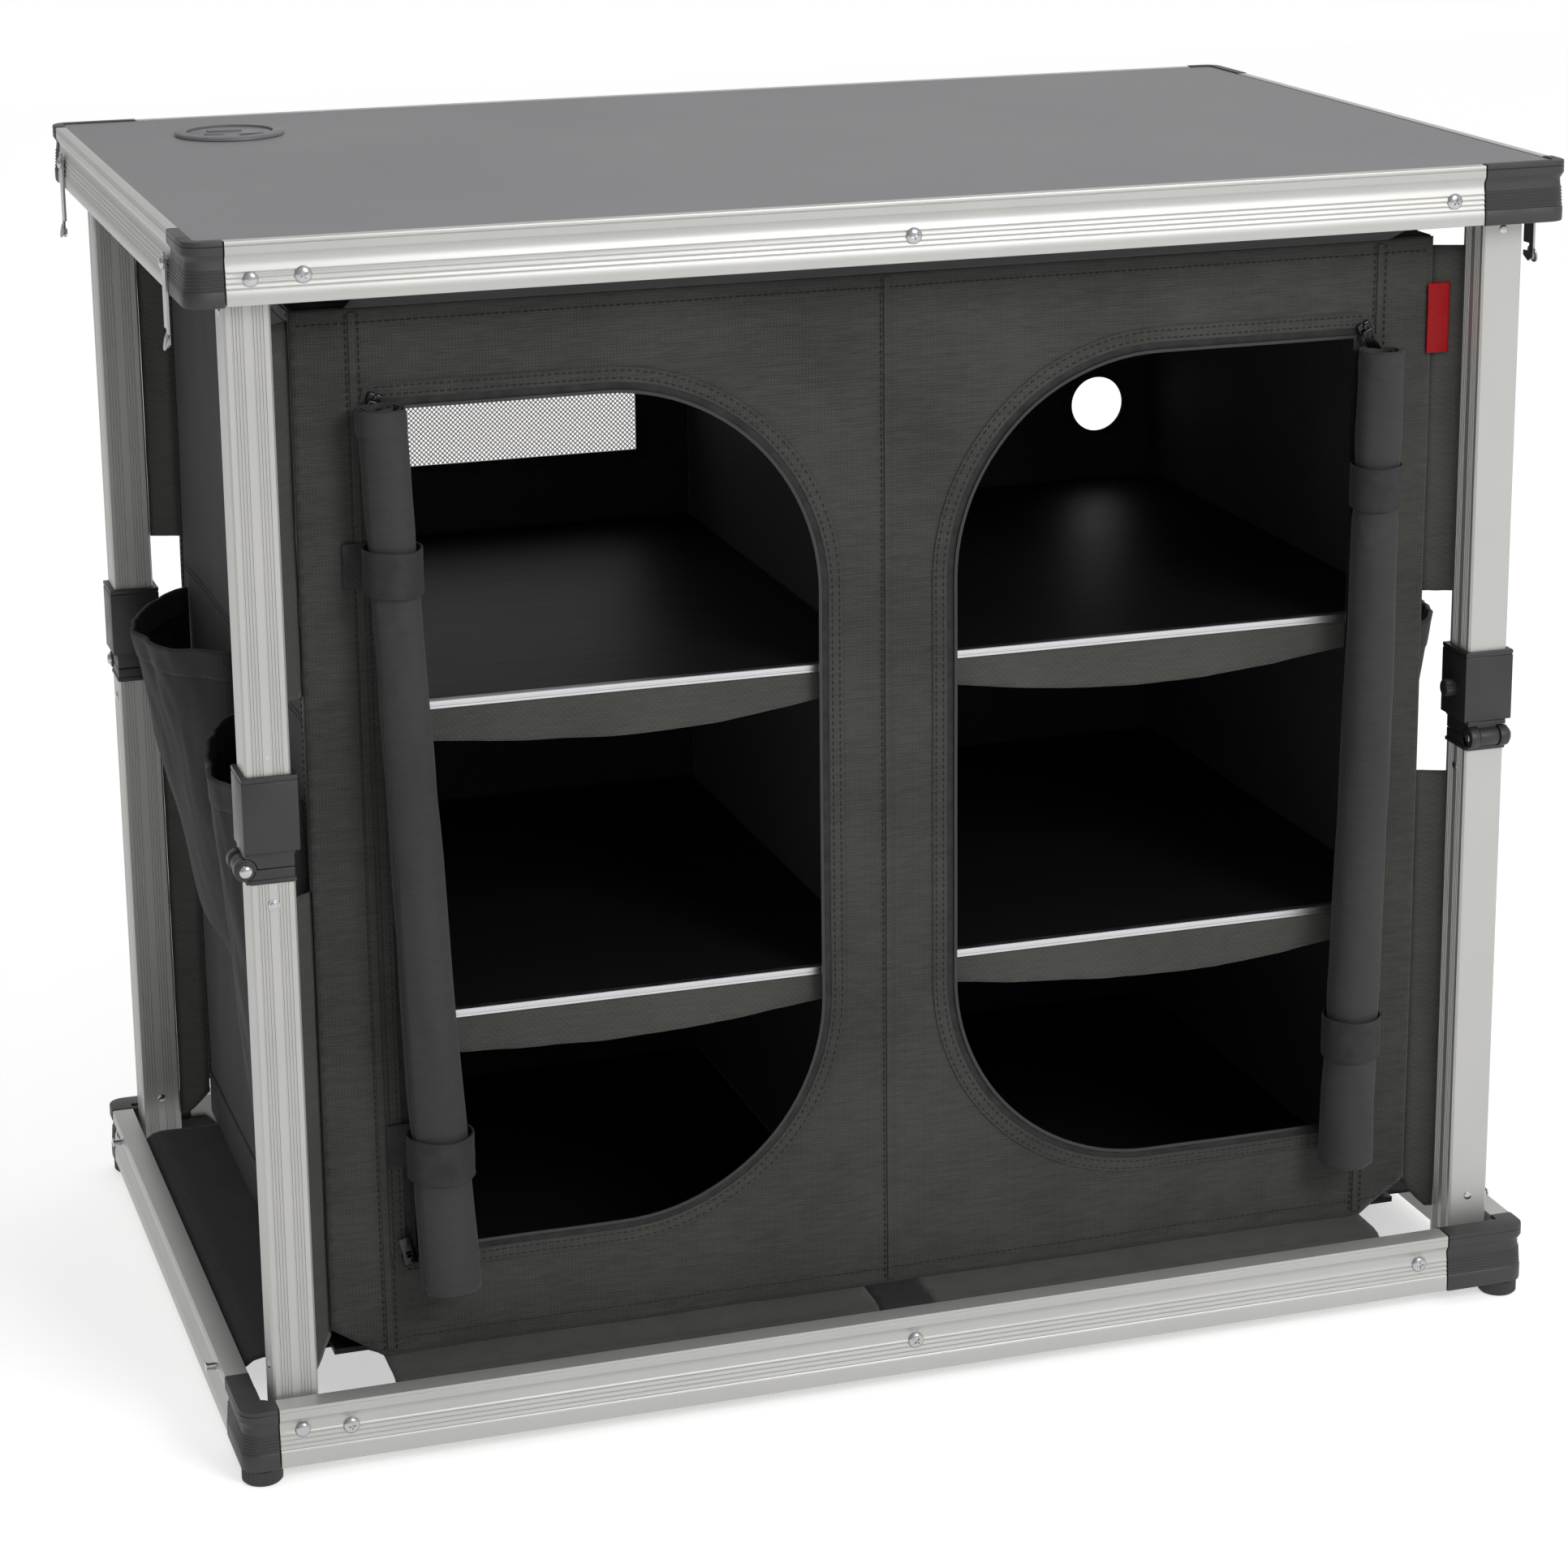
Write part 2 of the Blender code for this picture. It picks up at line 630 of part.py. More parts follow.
def catch_pin(along):
    """The pin that a transport hook drops over when the frame is folded."""
    stem = disc(along, CATCH_Z, CATCH_RADIUS, -CATCH_OUT, BAND_DEPTH + GAP, "Y", 10)
    rim = CATCH_RADIUS + CATCH_FLANGE
    head = disc(along, CATCH_Z, rim, -CATCH_OUT, CATCH_FLANGE - CATCH_OUT, "Y", 10)
    return unite(stem, head)


def frame_parts(base, level, low, high, rebate, pivot_z):
    """The four rails and four corner caps of one frame."""
    cap = corner_cap(low, high, rebate, level == "base")
    for corner, side in RAIL_NAMES.items():
        length = CORNERS[corner][3]
        posts = []
        if length == DEPTH and level == "top":
            posts = [hook_post(along) for along in HOOK_PLACES]
        elif length == DEPTH:
            posts = [catch_pin(along) for along in CATCH_PLACES]
        bar = rail(length, low, high, rebate, pivot_z, posts)
        at_corner(f"{level}_rail_{side}", bar, corner, ALUMINIUM, base)
        at_corner(f"{level}_cap_{corner}", cap, corner, PLASTIC, base, True)
        bpy.data.objects.remove(bar)
    bpy.data.objects.remove(cap)


def feet(base):
    shape = foot_shape()
    for corner in CORNERS:
        axis = joint(f"axis_foot_{corner}", corner_matrix(corner) @ Vector((FOOT_INSET, FOOT_INSET, 0)), base)
        at_corner(f"foot_{corner}", shape, corner, PLASTIC, axis)
    bpy.data.objects.remove(shape)


def legs(base, top):
    """Lower and upper legs with knee, sleeve and button. The front left upper leg carries the top."""
    shapes = {
        "lower_leg": leg_tube(BASE_PIVOT_Z, KNEE_Z - BLOCK_LOWER - GAP, BASE_PIVOT_Z, False),
        "upper_leg": leg_tube(KNEE_Z + BLOCK_UPPER + GAP, TOP_PIVOT_Z, TOP_PIVOT_Z, True),
        "knee_socket": knee_half(False),
        "knee_plug": knee_half(True),
        "sleeve": sleeve_shape(),
        "lock_button": button_shape(),
    }
    for corner in CORNERS:
        place = corner_matrix(corner)
        lower = joint(f"axis_lower_{corner}", place @ Vector((LEG_ALONG, LEG_INSET, BASE_PIVOT_Z)), base)
        upper = joint(f"axis_upper_{corner}", place @ Vector((BARREL_X, LEG_INSET, KNEE_Z)), lower)
        slide = joint(f"axis_sleeve_{corner}", place @ Vector((LEG_ALONG, LEG_INSET, SLEEVE_Z)), upper)
        press_at = place @ Vector((LEG_ALONG, LEG_INSET + SLEEVE_HALF, SLEEVE_Z + BUTTON_UP))
        press = joint(f"axis_button_{corner}", press_at, slide)
        if corner == "fl":
            bpy.context.view_layer.update()
            top.parent = upper
            top.matrix_parent_inverse = upper.matrix_world.inverted()
        for part, carrier, kind in (
            ("lower_leg", lower, ALUMINIUM),
            ("knee_socket", lower, PLASTIC),
            ("knee_plug", upper, PLASTIC),
            ("upper_leg", upper, ALUMINIUM),
            ("sleeve", slide, PLASTIC),
            ("lock_button", press, PLASTIC),
        ):
            at_corner(f"{part}_{corner}", shapes[part], corner, kind, carrier, part.startswith("knee"))
    for shape in shapes.values():
        bpy.data.objects.remove(shape)


def table(top):
    """The board with its cable grommet and turning lid."""
    x, y = HALF_W - CAP_ROUND, HALF_D - CAP_ROUND
    bend = CAP_ROUND - LIP_WIDE - GAP
    outline = []
    for cx, cy, start in ((x, y, 0), (-x, y, 90), (-x, -y, 180), (x, -y, 270)):
        outline += arc(cx, cy, bend, start, start + 90, 4)
    panel = prism(outline, PANEL_LOW, PANEL_LOW + PANEL_THICK)
    bore = GROMMET_RADIUS - GROMMET_RIM + GROMMET_WALL
    hole = disc(GROMMET_X, GROMMET_Y, bore + GAP, PANEL_LOW - GAP, HEIGHT, "Z", 28)
    piece("table_panel", cut(panel, hole), LAMINATE, top)
    face = PANEL_LOW + PANEL_THICK + GAP
    ring = disc(GROMMET_X, GROMMET_Y, GROMMET_RADIUS, face, face + GROMMET_HIGH, "Z", 28)
    tube = disc(GROMMET_X, GROMMET_Y, bore, PANEL_LOW, face + GAP, "Z", 28)
    room = disc(GROMMET_X, GROMMET_Y, bore - GROMMET_WALL, PANEL_LOW - GAP, face + 2 * GROMMET_HIGH, "Z", 28)
    ledge = disc(GROMMET_X, GROMMET_Y, bore - GROMMET_WALL / 2, PANEL_LOW, face - GROMMET_WALL, "Z", 28)
    ledge = cut(ledge, disc(GROMMET_X, GROMMET_Y, bore - 2 * GROMMET_WALL, PANEL_LOW - GAP, HEIGHT, "Z", 28))
    ring = unite(cut(unite(ring, tube), room), ledge)
    piece("cable_grommet", ring, PLASTIC, top, True)
    lid_axis = joint("axis_grommet_lid", (GROMMET_X, GROMMET_Y, face), top)
    seat = face - GROMMET_WALL + GAP
    lid_radius = bore - GROMMET_WALL - PIN_PLAY
    lid = disc(GROMMET_X, GROMMET_Y, lid_radius, seat, seat + LID_THICK, "Z", 28)
    slot = block(
        GROMMET_X + LID_SLOT[0],
        GROMMET_X + LID_SLOT[1],
        GROMMET_Y - 2 * lid_radius,
        GROMMET_Y - lid_radius + LID_SLOT_DEEP,
        seat - GAP,
        seat + 2 * LID_THICK,
    )
    piece("grommet_lid", cut(lid, slot), PLASTIC, lid_axis)


def hooks(top):
    """Two on each side rail: the first is near the rail's short cap."""
    for corner, ends in (("fr", ("front", "back")), ("bl", ("back", "front"))):
        for along, pin_side, end in zip(HOOK_PLACES, (1, -1), ends):
            place = corner_matrix(corner) @ Vector((along, 0, HOOK_Z))
            name = f"{RAIL_NAMES[corner]}_{end}"
            axis = joint(f"axis_hook_{name}", place, top)
            shape = hook_shape(along, pin_side)
            at_corner(f"latch_hook_{name}", shape, corner, STEEL, axis)
            bpy.data.objects.remove(shape)


def board(name, x0, x1, z, carrier):
    y1 = BOX_HALF_Y - CLOTH - BOARD_BACK_PLAY
    shape = block(min(x0, x1), max(x0, x1), FRONT_Y + BOARD_FRONT, y1, z - BOARD_THICK, z)
    piece(name, shape, BOARD, carrier)


def shelves(base):
    """A board left and right of the divider on each level, and one across the floor."""
    inner = CLOTH / 2 + BOARD_SIDE_PLAY
    outer = BOX_HALF_X - CLOTH - BOARD_SIDE_PLAY
    for level, z in SHELF_Z.items():
        carrier = joint(f"axis_shelf_{level}", (0, 0, z), base)
        board(f"shelf_{level}_left", -outer, -inner, z, carrier)
        board(f"shelf_{level}_right", inner, outer, z, carrier)
    board("floor_board", -outer, outer, FLOOR_Z, base)


def sling(z, side):
    """The fabric under one shelf board, with the loose flap that hangs at its front."""
    lap = CLOTH / 3
    top = z - BOARD_THICK - GAP
    x0, x1 = sorted((side * (CLOTH / 2 - lap), side * (BOX_HALF_X - CLOTH + lap)))
    front = FRONT_Y + BOARD_FRONT
    bed = block(x0, x1, front, BOX_HALF_Y - CLOTH + lap, top - SLING_CLOTH, top)
    hem = []
    for i in range(9):
        share = i / 8
        drop = VALANCE_SIDE + (VALANCE_SAG - VALANCE_SIDE) * math.sin(math.pi * share)
        hem.append((x0 + (x1 - x0) * share, top - drop))
    return unite(bed, prism([(x1, top), (x0, top), *hem], front - SLING_CLOTH, front + lap, "Y"))


def door_outline(side):
    """A door opening as (x, z), straight at the outer side and rounded at the inner corners."""
    r = DOOR_ROUND
    inner = DOOR_INNER_X + r
    lower = arc(inner, DOOR_LOW + r, r, 270, 180, 8)
    upper = arc(inner, DOOR_TOP - r, r, 180, 90, 8)
    points = [(DOOR_OUTER_X, DOOR_LOW), *lower, *upper, (DOOR_OUTER_X, DOOR_TOP)]
    return [(side * x, z) for x, z in points]


def cabinet(base):
    """The sewn cabinet: walls, divider, slings, pockets and strips are one body, the front panel another."""
    front = FRONT_Y + PANEL_CLOTH + GAP
    shell = block(-BOX_HALF_X, BOX_HALF_X, front, BOX_HALF_Y, BOX_LOW, BOX_TOP)
    rooms = []
    for side in (-1, 1):
        x0, x1 = sorted((side * CLOTH / 2, side * (BOX_HALF_X - CLOTH)))
        rooms.append(block(x0, x1, front - GAP, BOX_HALF_Y - CLOTH, BOX_LOW + CLOTH, BOX_TOP - CLOTH))
    under = block(-CLOTH, CLOTH, front - GAP, BOX_HALF_Y - CLOTH, BOX_LOW + CLOTH, FLOOR_Z + GAP)
    back = (BOX_HALF_Y - 2 * CLOTH, BOX_HALF_Y + CLOTH)
    window = block(*WINDOW_X, *back, *WINDOW_Z)
    hole = disc(CABLE_HOLE_X, CABLE_HOLE_Z, CABLE_HOLE_RADIUS, *back, "Y", 16)
    shell = cut(shell, *rooms, under, window, hole)
    for z in SHELF_Z.values():
        shell = unite(shell, sling(z, -1), sling(z, 1))
    shell = unite(shell, *corner_webs(), *frame_flaps(), *pockets())
    piece("cabinet_shell", shell, LINING, base)
    edge = 2 * WEB_CLOTH
    sheet = block(-BOX_HALF_X, BOX_HALF_X, FRONT_Y, FRONT_Y + PANEL_CLOTH, BOX_LOW + edge, BOX_TOP - edge)
    doors = [prism(door_outline(side), FRONT_Y - CLOTH, FRONT_Y + 2 * CLOTH, "Y") for side in (-1, 1)]
    piece("front_panel", cut(sheet, *doors), FABRIC, base)


def roll_at(ends, z):
    """A leaning roll's middle, inside the opening's edge, and its radius at a height."""
    (in_top, drop, r_top), (in_low, hang, r_low) = ends
    z_low = DOOR_LOW - hang
    share = (z - z_low) / (DOOR_TOP - drop - z_low)
    return in_low + (in_top - in_low) * share, r_low + (r_top - r_low) * share


def roll_ring(side, ends, z, grow=0):
    """A level ring of points round a roll that hangs just in front of the panel."""
    inside, r = roll_at(ends, z)
    y = FRONT_Y - 2 * GAP - STRAP_THICK - r
    return [(u, v, z) for u, v in circle(side * (DOOR_OUTER_X - inside), y, r + grow, ROLL_SIDES)]


def strap(side, ends, z):
    """A band round the roll, with the end that is sewn to the panel beside the door."""
    low, high = z - STRAP_WIDE / 2, z + STRAP_WIDE / 2
    band = loft([roll_ring(side, ends, level, STRAP_THICK) for level in (low, high)])
    inside, r = roll_at(ends, z)
    x = DOOR_OUTER_X - inside
    x0, x1 = sorted((side * x, side * (x + r + STRAP_END)))
    return unite(band, block(x0, x1, FRONT_Y - GAP - STRAP_THICK, FRONT_Y - GAP, low, high))


def door_rolls(base):
    """Each door, rolled up and held by two straps."""
    for name, side, ends in (("left", -1, ROLL_LEFT), ("right", 1, ROLL_RIGHT)):
        (_, drop, _), (_, hang, _) = ends
        roll = loft([roll_ring(side, ends, z) for z in (DOOR_LOW - hang, DOOR_TOP - drop)])
        roll = unite(roll, *[strap(side, ends, z) for z in STRAP_Z])
        piece(f"door_roll_{name}", roll, FABRIC, base)


def pocket_body(side, y0, y1, bulge, low, rim, inset):
    """A pocket's solid outer or inner form: it bulges most at its rim."""
    seam_x = BOX_HALF_X + GAP if inset else BOX_HALF_X - CLOTH / 2
    sections = []
    steps = 4
    for i in range(steps + 1):
        share = i / steps
        z = low + inset + (rim - low) * share
        swell = (bulge - inset) * (POCKET_FOOT + (1 - POCKET_FOOT) * math.sin(share * math.pi / 2))
        ring = []
        for j in range(9):
            y = y0 + inset + (y1 - y0 - 2 * inset) * j / 8
            out = swell * math.sin(math.pi * j / 8) ** POCKET_FULL if 0 < j < 8 else 0
            ring.append((side * (BOX_HALF_X + POCKET_CLOTH + out), y, z))
        ring += [(side * seam_x, y1 - inset, z), (side * seam_x, y0 + inset, z)]
        sections.append(ring)
    return loft(sections)


def pockets():
    """Two open-topped pockets on each side wall, turned half round from side to side."""
    long_ends = (POCKET_NEAR - BOX_HALF_Y, -POCKET_SPLIT)
    short_ends = (POCKET_SPLIT, BOX_HALF_Y - POCKET_FAR)
    shapes = []
    for side in (-1, 1):
        for (y0, y1), (bulge, low, rim) in ((long_ends, LONG_POCKET), (short_ends, SHORT_POCKET)):
            ends = (y0, y1) if side < 0 else (-y1, -y0)
            outer = pocket_body(side, *ends, bulge, low, rim, 0)
            shapes.append(cut(outer, pocket_body(side, *ends, bulge, low, rim, POCKET_CLOTH)))
    return shapes


def corner_webs():
    """Upright strips from each leg to the cabinet's side wall, open round the knee."""
    shapes = []
    for corner, (_, _, _, length) in CORNERS.items():
        wall = HALF_W - BOX_HALF_X + CLOTH / 3
        behind = HALF_D - BOX_HALF_Y + WEB_BEHIND
        if length == WIDTH:
            start = Vector((LEG_ALONG + LEG_HALF + GAP, LEG_INSET + LEG_HALF - WEB_LAP))
            end = Vector((wall, behind))
        else:
            start = Vector((LEG_ALONG + LEG_HALF - WEB_LAP, LEG_INSET + LEG_HALF + GAP))
            end = Vector((behind, wall))
        along = (end - start).normalized()
        start = start + along * WEB_CLOTH / 2
        across = Vector((-along.y, along.x)) * WEB_CLOTH / 2
        outline = [tuple(p) for p in (start - across, end - across, end + across, start + across)]
        for low, high in (WEB_UPPER, WEB_LOWER):
            shapes += copies(prism(outline, low, high), (corner,))
    return shapes


def frame_flaps():
    """Strips from the cabinet's lower and upper edges to the rails of the two frames."""
    shapes = []
    lap = CLOTH / 3
    for corner, (_, _, _, length) in CORNERS.items():
        is_long = length == WIDTH
        reach = lap + (HALF_D - BOX_HALF_Y if is_long else HALF_W - BOX_HALF_X)
        inside = reach + FLAP_LAP
        room = FLAP_END if is_long else FLAP_SIDE_END
        edge = RAIL_THICK + GAP
        high = BOX_LOW + lap
        low = high - WEB_CLOTH
        floor = [(edge, low), (inside, low), (inside, high), (edge, high)]
        rise = TOP_RAIL_Z + 2 * GAP
        seam = BOX_TOP - lap
        roof = [(edge, rise), (reach, seam), (inside, seam), (inside, seam + WEB_CLOTH)]
        roof += [(reach, seam + WEB_CLOTH), (edge, rise + WEB_CLOTH)]
        spans = [(room, length - room)]
        if corner == "fl":
            spans = [(room, length / 2 - FLAP_SPLIT), (length / 2 + FLAP_SPLIT, length - room)]
        for start, end in spans:
            shapes += copies(prism(floor, start, end, "X"), (corner,))
        shapes += copies(prism(roof, room, length - room, "X"), (corner,))
    return shapes


def build():
    clear_scene()
    base = joint("base_frame", (0, 0, 0))
    top_at = corner_matrix("fl") @ Vector((LEG_ALONG, LEG_INSET, TOP_PIVOT_Z))
    top = joint("axis_top_frame", top_at)
    frame_parts(base, "base", BASE_Z, BASE_RAIL_HIGH, 0, BASE_PIVOT_Z)
    frame_parts(top, "top", TOP_RAIL_Z, TOP_RAIL_HIGH, REBATE, TOP_PIVOT_Z)
    feet(base)
    table(top)
    hooks(top)
    legs(base, top)
    shelves(base)
    cabinet(base)
    door_rolls(base)


build()
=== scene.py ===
# Folding camping cupboard: looks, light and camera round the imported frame.
import math
import random

import bpy
import numpy as np
from mathutils import Matrix, Vector, noise
from mathutils.geometry import delaunay_2d_cdt


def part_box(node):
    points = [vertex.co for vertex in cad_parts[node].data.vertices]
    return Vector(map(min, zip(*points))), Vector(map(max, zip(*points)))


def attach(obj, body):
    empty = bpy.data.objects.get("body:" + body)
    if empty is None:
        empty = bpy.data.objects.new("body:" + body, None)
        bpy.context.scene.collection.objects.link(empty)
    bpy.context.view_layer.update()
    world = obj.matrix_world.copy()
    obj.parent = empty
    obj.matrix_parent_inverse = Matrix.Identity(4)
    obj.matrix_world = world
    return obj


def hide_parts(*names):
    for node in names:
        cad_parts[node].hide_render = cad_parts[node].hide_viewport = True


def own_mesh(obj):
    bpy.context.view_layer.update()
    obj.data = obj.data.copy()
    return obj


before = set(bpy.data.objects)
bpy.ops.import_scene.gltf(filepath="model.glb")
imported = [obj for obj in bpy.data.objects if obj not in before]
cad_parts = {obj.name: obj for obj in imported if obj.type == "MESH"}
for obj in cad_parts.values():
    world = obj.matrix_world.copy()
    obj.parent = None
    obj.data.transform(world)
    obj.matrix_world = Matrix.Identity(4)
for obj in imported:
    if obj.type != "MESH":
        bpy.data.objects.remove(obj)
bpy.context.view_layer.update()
chance = random.Random(7)

# sizes that every piece shares, read from the frame
halfWidth = -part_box("top_cap_fl")[0].x
halfDepth = -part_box("top_cap_fl")[0].y
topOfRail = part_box("top_rail_front")[1].z
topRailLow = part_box("top_rail_front")[0].z
baseRailLow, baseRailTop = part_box("base_rail_front")[0].z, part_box("base_rail_front")[1].z
railThick = 0.016
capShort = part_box("top_rail_front")[0].x + halfWidth
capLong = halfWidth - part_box("top_rail_front")[1].x
hair = 0.0003  # the play between pieces that touch

# each corner's place, turn and rail length: a piece is modelled once, in a corner's own axes
cornerTurn = {
    "fl": (-halfWidth, -halfDepth, 0, 2 * halfWidth),
    "fr": (halfWidth, -halfDepth, 90, 2 * halfDepth),
    "br": (halfWidth, halfDepth, 180, 2 * halfWidth),
    "bl": (-halfWidth, halfDepth, 270, 2 * halfDepth),
}
railNames = {"fl": "front", "fr": "right", "br": "back", "bl": "left"}


def clearPick():
    if bpy.context.object and bpy.context.object.mode != "OBJECT":
        bpy.ops.object.mode_set(mode="OBJECT")
    bpy.ops.object.select_all(action="DESELECT")


def pick(*objs):
    clearPick()
    for obj in objs:
        obj.select_set(True)
    bpy.context.view_layer.objects.active = objs[0]


def editAll(obj, *steps):
    # operators and their settings, run in edit mode on the whole mesh
    pick(obj)
    bpy.ops.object.mode_set(mode="EDIT")
    bpy.ops.mesh.select_all(action="SELECT")
    for operator, settings in steps:
        operator(**settings)
    bpy.ops.object.mode_set(mode="OBJECT")
    return obj


def outwards(obj):
    return editAll(obj, (bpy.ops.mesh.remove_doubles, {"threshold": 1e-6}),
                   (bpy.ops.mesh.normals_make_consistent, {"inside": False}))


def settle(obj):
    # the place goes into the mesh and the object stays at the origin
    pick(obj)
    bpy.ops.object.transform_apply(location=True, rotation=True, scale=True)
    return obj


def useModifier(obj, kind, **settings):
    pick(obj)
    step = obj.modifiers.new(kind.title(), kind)
    for key, value in settings.items():
        setattr(step, key, value)
    bpy.ops.object.modifier_apply(modifier=step.name)
    return obj


def smooth(obj, degrees=None):
    pick(obj)
    if degrees:
        bpy.ops.object.shade_smooth_by_angle(angle=math.radians(degrees))
    else:
        bpy.ops.object.shade_smooth()
    return obj


def joined(*objs):
    if len(objs) > 1:
        pick(*objs)
        bpy.ops.object.join()
    return objs[0]


def moved(obj, matrix):
    # a copy with its own mesh, carried to another place
    copy = obj.copy()
    copy.data = obj.data.copy()
    copy.data.transform(matrix)
    bpy.context.scene.collection.objects.link(copy)
    return copy


def dropped(obj):
    bpy.data.objects.remove(obj)


def bevelled(obj, width, segments=2, angle=30):
    return useModifier(obj, "BEVEL", width=width, segments=segments, limit_method="ANGLE",
                       angle_limit=math.radians(angle), harden_normals=False)


def addBlock(low, high, bevel=0.0, segments=2):
    clearPick()
    low, high = Vector(low), Vector(high)
    bpy.ops.mesh.primitive_cube_add(size=1, location=(low + high) / 2, scale=high - low)
    obj = settle(bpy.context.object)
    return bevelled(obj, bevel, segments) if bevel else obj


def addRod(middle, radius, length, axis="Z", vertices=24, bevel=0.0):
    clearPick()
    turn = {"Z": (0, 0, 0), "X": (0, math.pi / 2, 0), "Y": (math.pi / 2, 0, 0)}[axis]
    bpy.ops.mesh.primitive_cylinder_add(vertices=vertices, radius=radius, depth=length, location=middle,
                                        rotation=turn)
    obj = settle(bpy.context.object)
    return bevelled(obj, bevel, 2, 50) if bevel else obj


def addRing(points):
    # a primitive circle whose vertices are moved to the outline's
    clearPick()
    bpy.ops.mesh.primitive_circle_add(vertices=len(points), radius=1, location=(0, 0, 0))
    for vertex, point in zip(bpy.context.object.data.vertices, points):
        vertex.co = point
    return bpy.context.object


def drawOut(points, start, end, axis="X"):
    # a ring takes the section's shape, then it is filled and extruded along the axis
    order = {"X": (2, 0, 1), "Y": (0, 2, 1), "Z": (0, 1, 2)}[axis]
    ring = addRing([[(u, v, start)[k] for k in order] for u, v in points])
    way = [(0, 0, end - start)[k] for k in order]
    editAll(ring, (bpy.ops.mesh.edge_face_add, {}),
            (bpy.ops.mesh.extrude_region_move, {"TRANSFORM_OT_translate": {"value": way}}))
    return outwards(ring)


def cutWith(obj, *tools, operation="DIFFERENCE"):
    for tool in tools:
        useModifier(obj, "BOOLEAN", operation=operation, solver="EXACT", object=tool)
        dropped(tool)
    return obj


def arcPoints(u, v, radius, start, end, steps):
    angles = [math.radians(start + (end - start) * i / steps) for i in range(steps + 1)]
    return [(u + radius * math.cos(a), v + radius * math.sin(a)) for a in angles]


def cornerPlace(corner):
    x, y, degrees, _ = cornerTurn[corner]
    return Matrix.Translation((x, y, 0)) @ Matrix.Rotation(math.radians(degrees), 4, "Z")


def meshFrom(name, vertices, faces):
    mesh = bpy.data.meshes.new(name)
    mesh.from_pydata([tuple(v) for v in vertices], [], faces)
    mesh.update()
    obj = bpy.data.objects.new(name, mesh)
    bpy.context.scene.collection.objects.link(obj)
    return obj


def gridFaces(rows, columns, wrap=False, flip=False):
    across = columns if wrap else columns + 1
    faces = []
    for i in range(rows):
        for j in range(columns):
            a, b = i * across + j, i * across + (j + 1) % across
            quad = (a, b, b + across, a + across)
            faces.append(quad[::-1] if flip else quad)
    return faces


def gridSheet(rows, columns, place, wrap=False, flip=False):
    # a net of quads whose points place(row, column) gives
    points = [place(i, j) for i in range(rows + 1) for j in range(columns if wrap else columns + 1)]
    return meshFrom("sheet", points, gridFaces(rows, columns, wrap, flip))


def thicken(sheet, thick, offset=0, degrees=None, **more):
    # with an angle, the edges sharper than it stay crisp
    useModifier(sheet, "SOLIDIFY", thickness=thick, offset=offset, **more)
    return smooth(outwards(sheet), degrees) if degrees else smooth(sheet)


def finishPiece(obj, name, body, finish, replaced=()):
    obj.name = obj.data.name = name
    obj.data.materials.clear()
    obj.data.materials.append(finishes[finish])
    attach(obj, body)
    if replaced:
        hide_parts(*replaced)


def atCorners(shape, name, body, finish, node="", corners=tuple(cornerTurn)):
    # one copy at each corner: in the names, * stands for the corner and + for its rail's side
    for corner in corners:
        own = [text.replace("*", corner).replace("+", railNames[corner]) for text in (name, body, node)]
        finishPiece(moved(shape, cornerPlace(corner)), own[0], own[1], finish, own[2:] if node else ())
    dropped(shape)


def linear(code):
    parts = [int(code[i:i + 2], 16) / 255 for i in (1, 3, 5)]
    return (*[p / 12.92 if p <= 0.04045 else ((p + 0.055) / 1.055) ** 2.4 for p in parts], 1)


def addNode(tree, kind, settings=None, links=(), stops=(), **properties):
    # settings go on the node's own sockets, links are (socket, from node, its socket),
    # and a ramp's stops are places with a colour or a level
    node = tree.nodes.new("ShaderNode" + kind)
    for key, value in properties.items():
        setattr(node, key, value)
    for socket, value in (settings or {}).items():
        node.inputs[socket].default_value = value
    for socket, source, output in links:
        tree.links.new(source.outputs[output], node.inputs[socket])
    for element, (place, level) in zip(node.color_ramp.elements if stops else (), stops):
        element.position = place
        element.color = linear(level) if isinstance(level, str) else (level, level, level, 1)
    return node


def newMaterial(name, colour, roughness, metallic, patterns, **sockets):
    # patterns are {label: (stretch, kind of texture, its settings and properties)}, all on the object's own axes
    made = bpy.data.materials.new(name)
    made.use_nodes = True
    tree = made.node_tree
    shader = tree.nodes["Principled BSDF"]
    shader.inputs["Base Color"].default_value = linear(colour)
    shader.inputs["Roughness"].default_value = roughness
    shader.inputs["Metallic"].default_value = metallic
    for socket, value in sockets.items():
        shader.inputs[socket.replace("_", " ")].default_value = value
    place = addNode(tree, "TexCoord")
    found = {}
    for label, (stretch, kind, settings, *more) in patterns.items():
        drawn = addNode(tree, "Mapping", {"Scale": stretch}, [("Vector", place, "Object")])
        found[label] = addNode(tree, kind, settings, [("Vector", drawn, "Vector")], **(more[0] if more else {}))
    return made, tree, shader, found


def applyPatterns(tree, shader, gloss=None, tint=None, relief=None):
    # two patterns steer roughness and colour between two stops, and one gives the fine relief
    for socket, row in (("Roughness", gloss), ("Base Color", tint)):
        if row:
            source, output, *stops = row
            node = addNode(tree, "ValToRGB", None, [("Fac", source, output)], stops)
            tree.links.new(node.outputs["Color"], shader.inputs[socket])
    source, output, strength, distance = relief
    bump = addNode(tree, "Bump", {"Strength": strength, "Distance": distance}, [("Height", source, output)])
    tree.links.new(bump.outputs["Normal"], shader.inputs["Normal"])


even = (1, 1, 1)


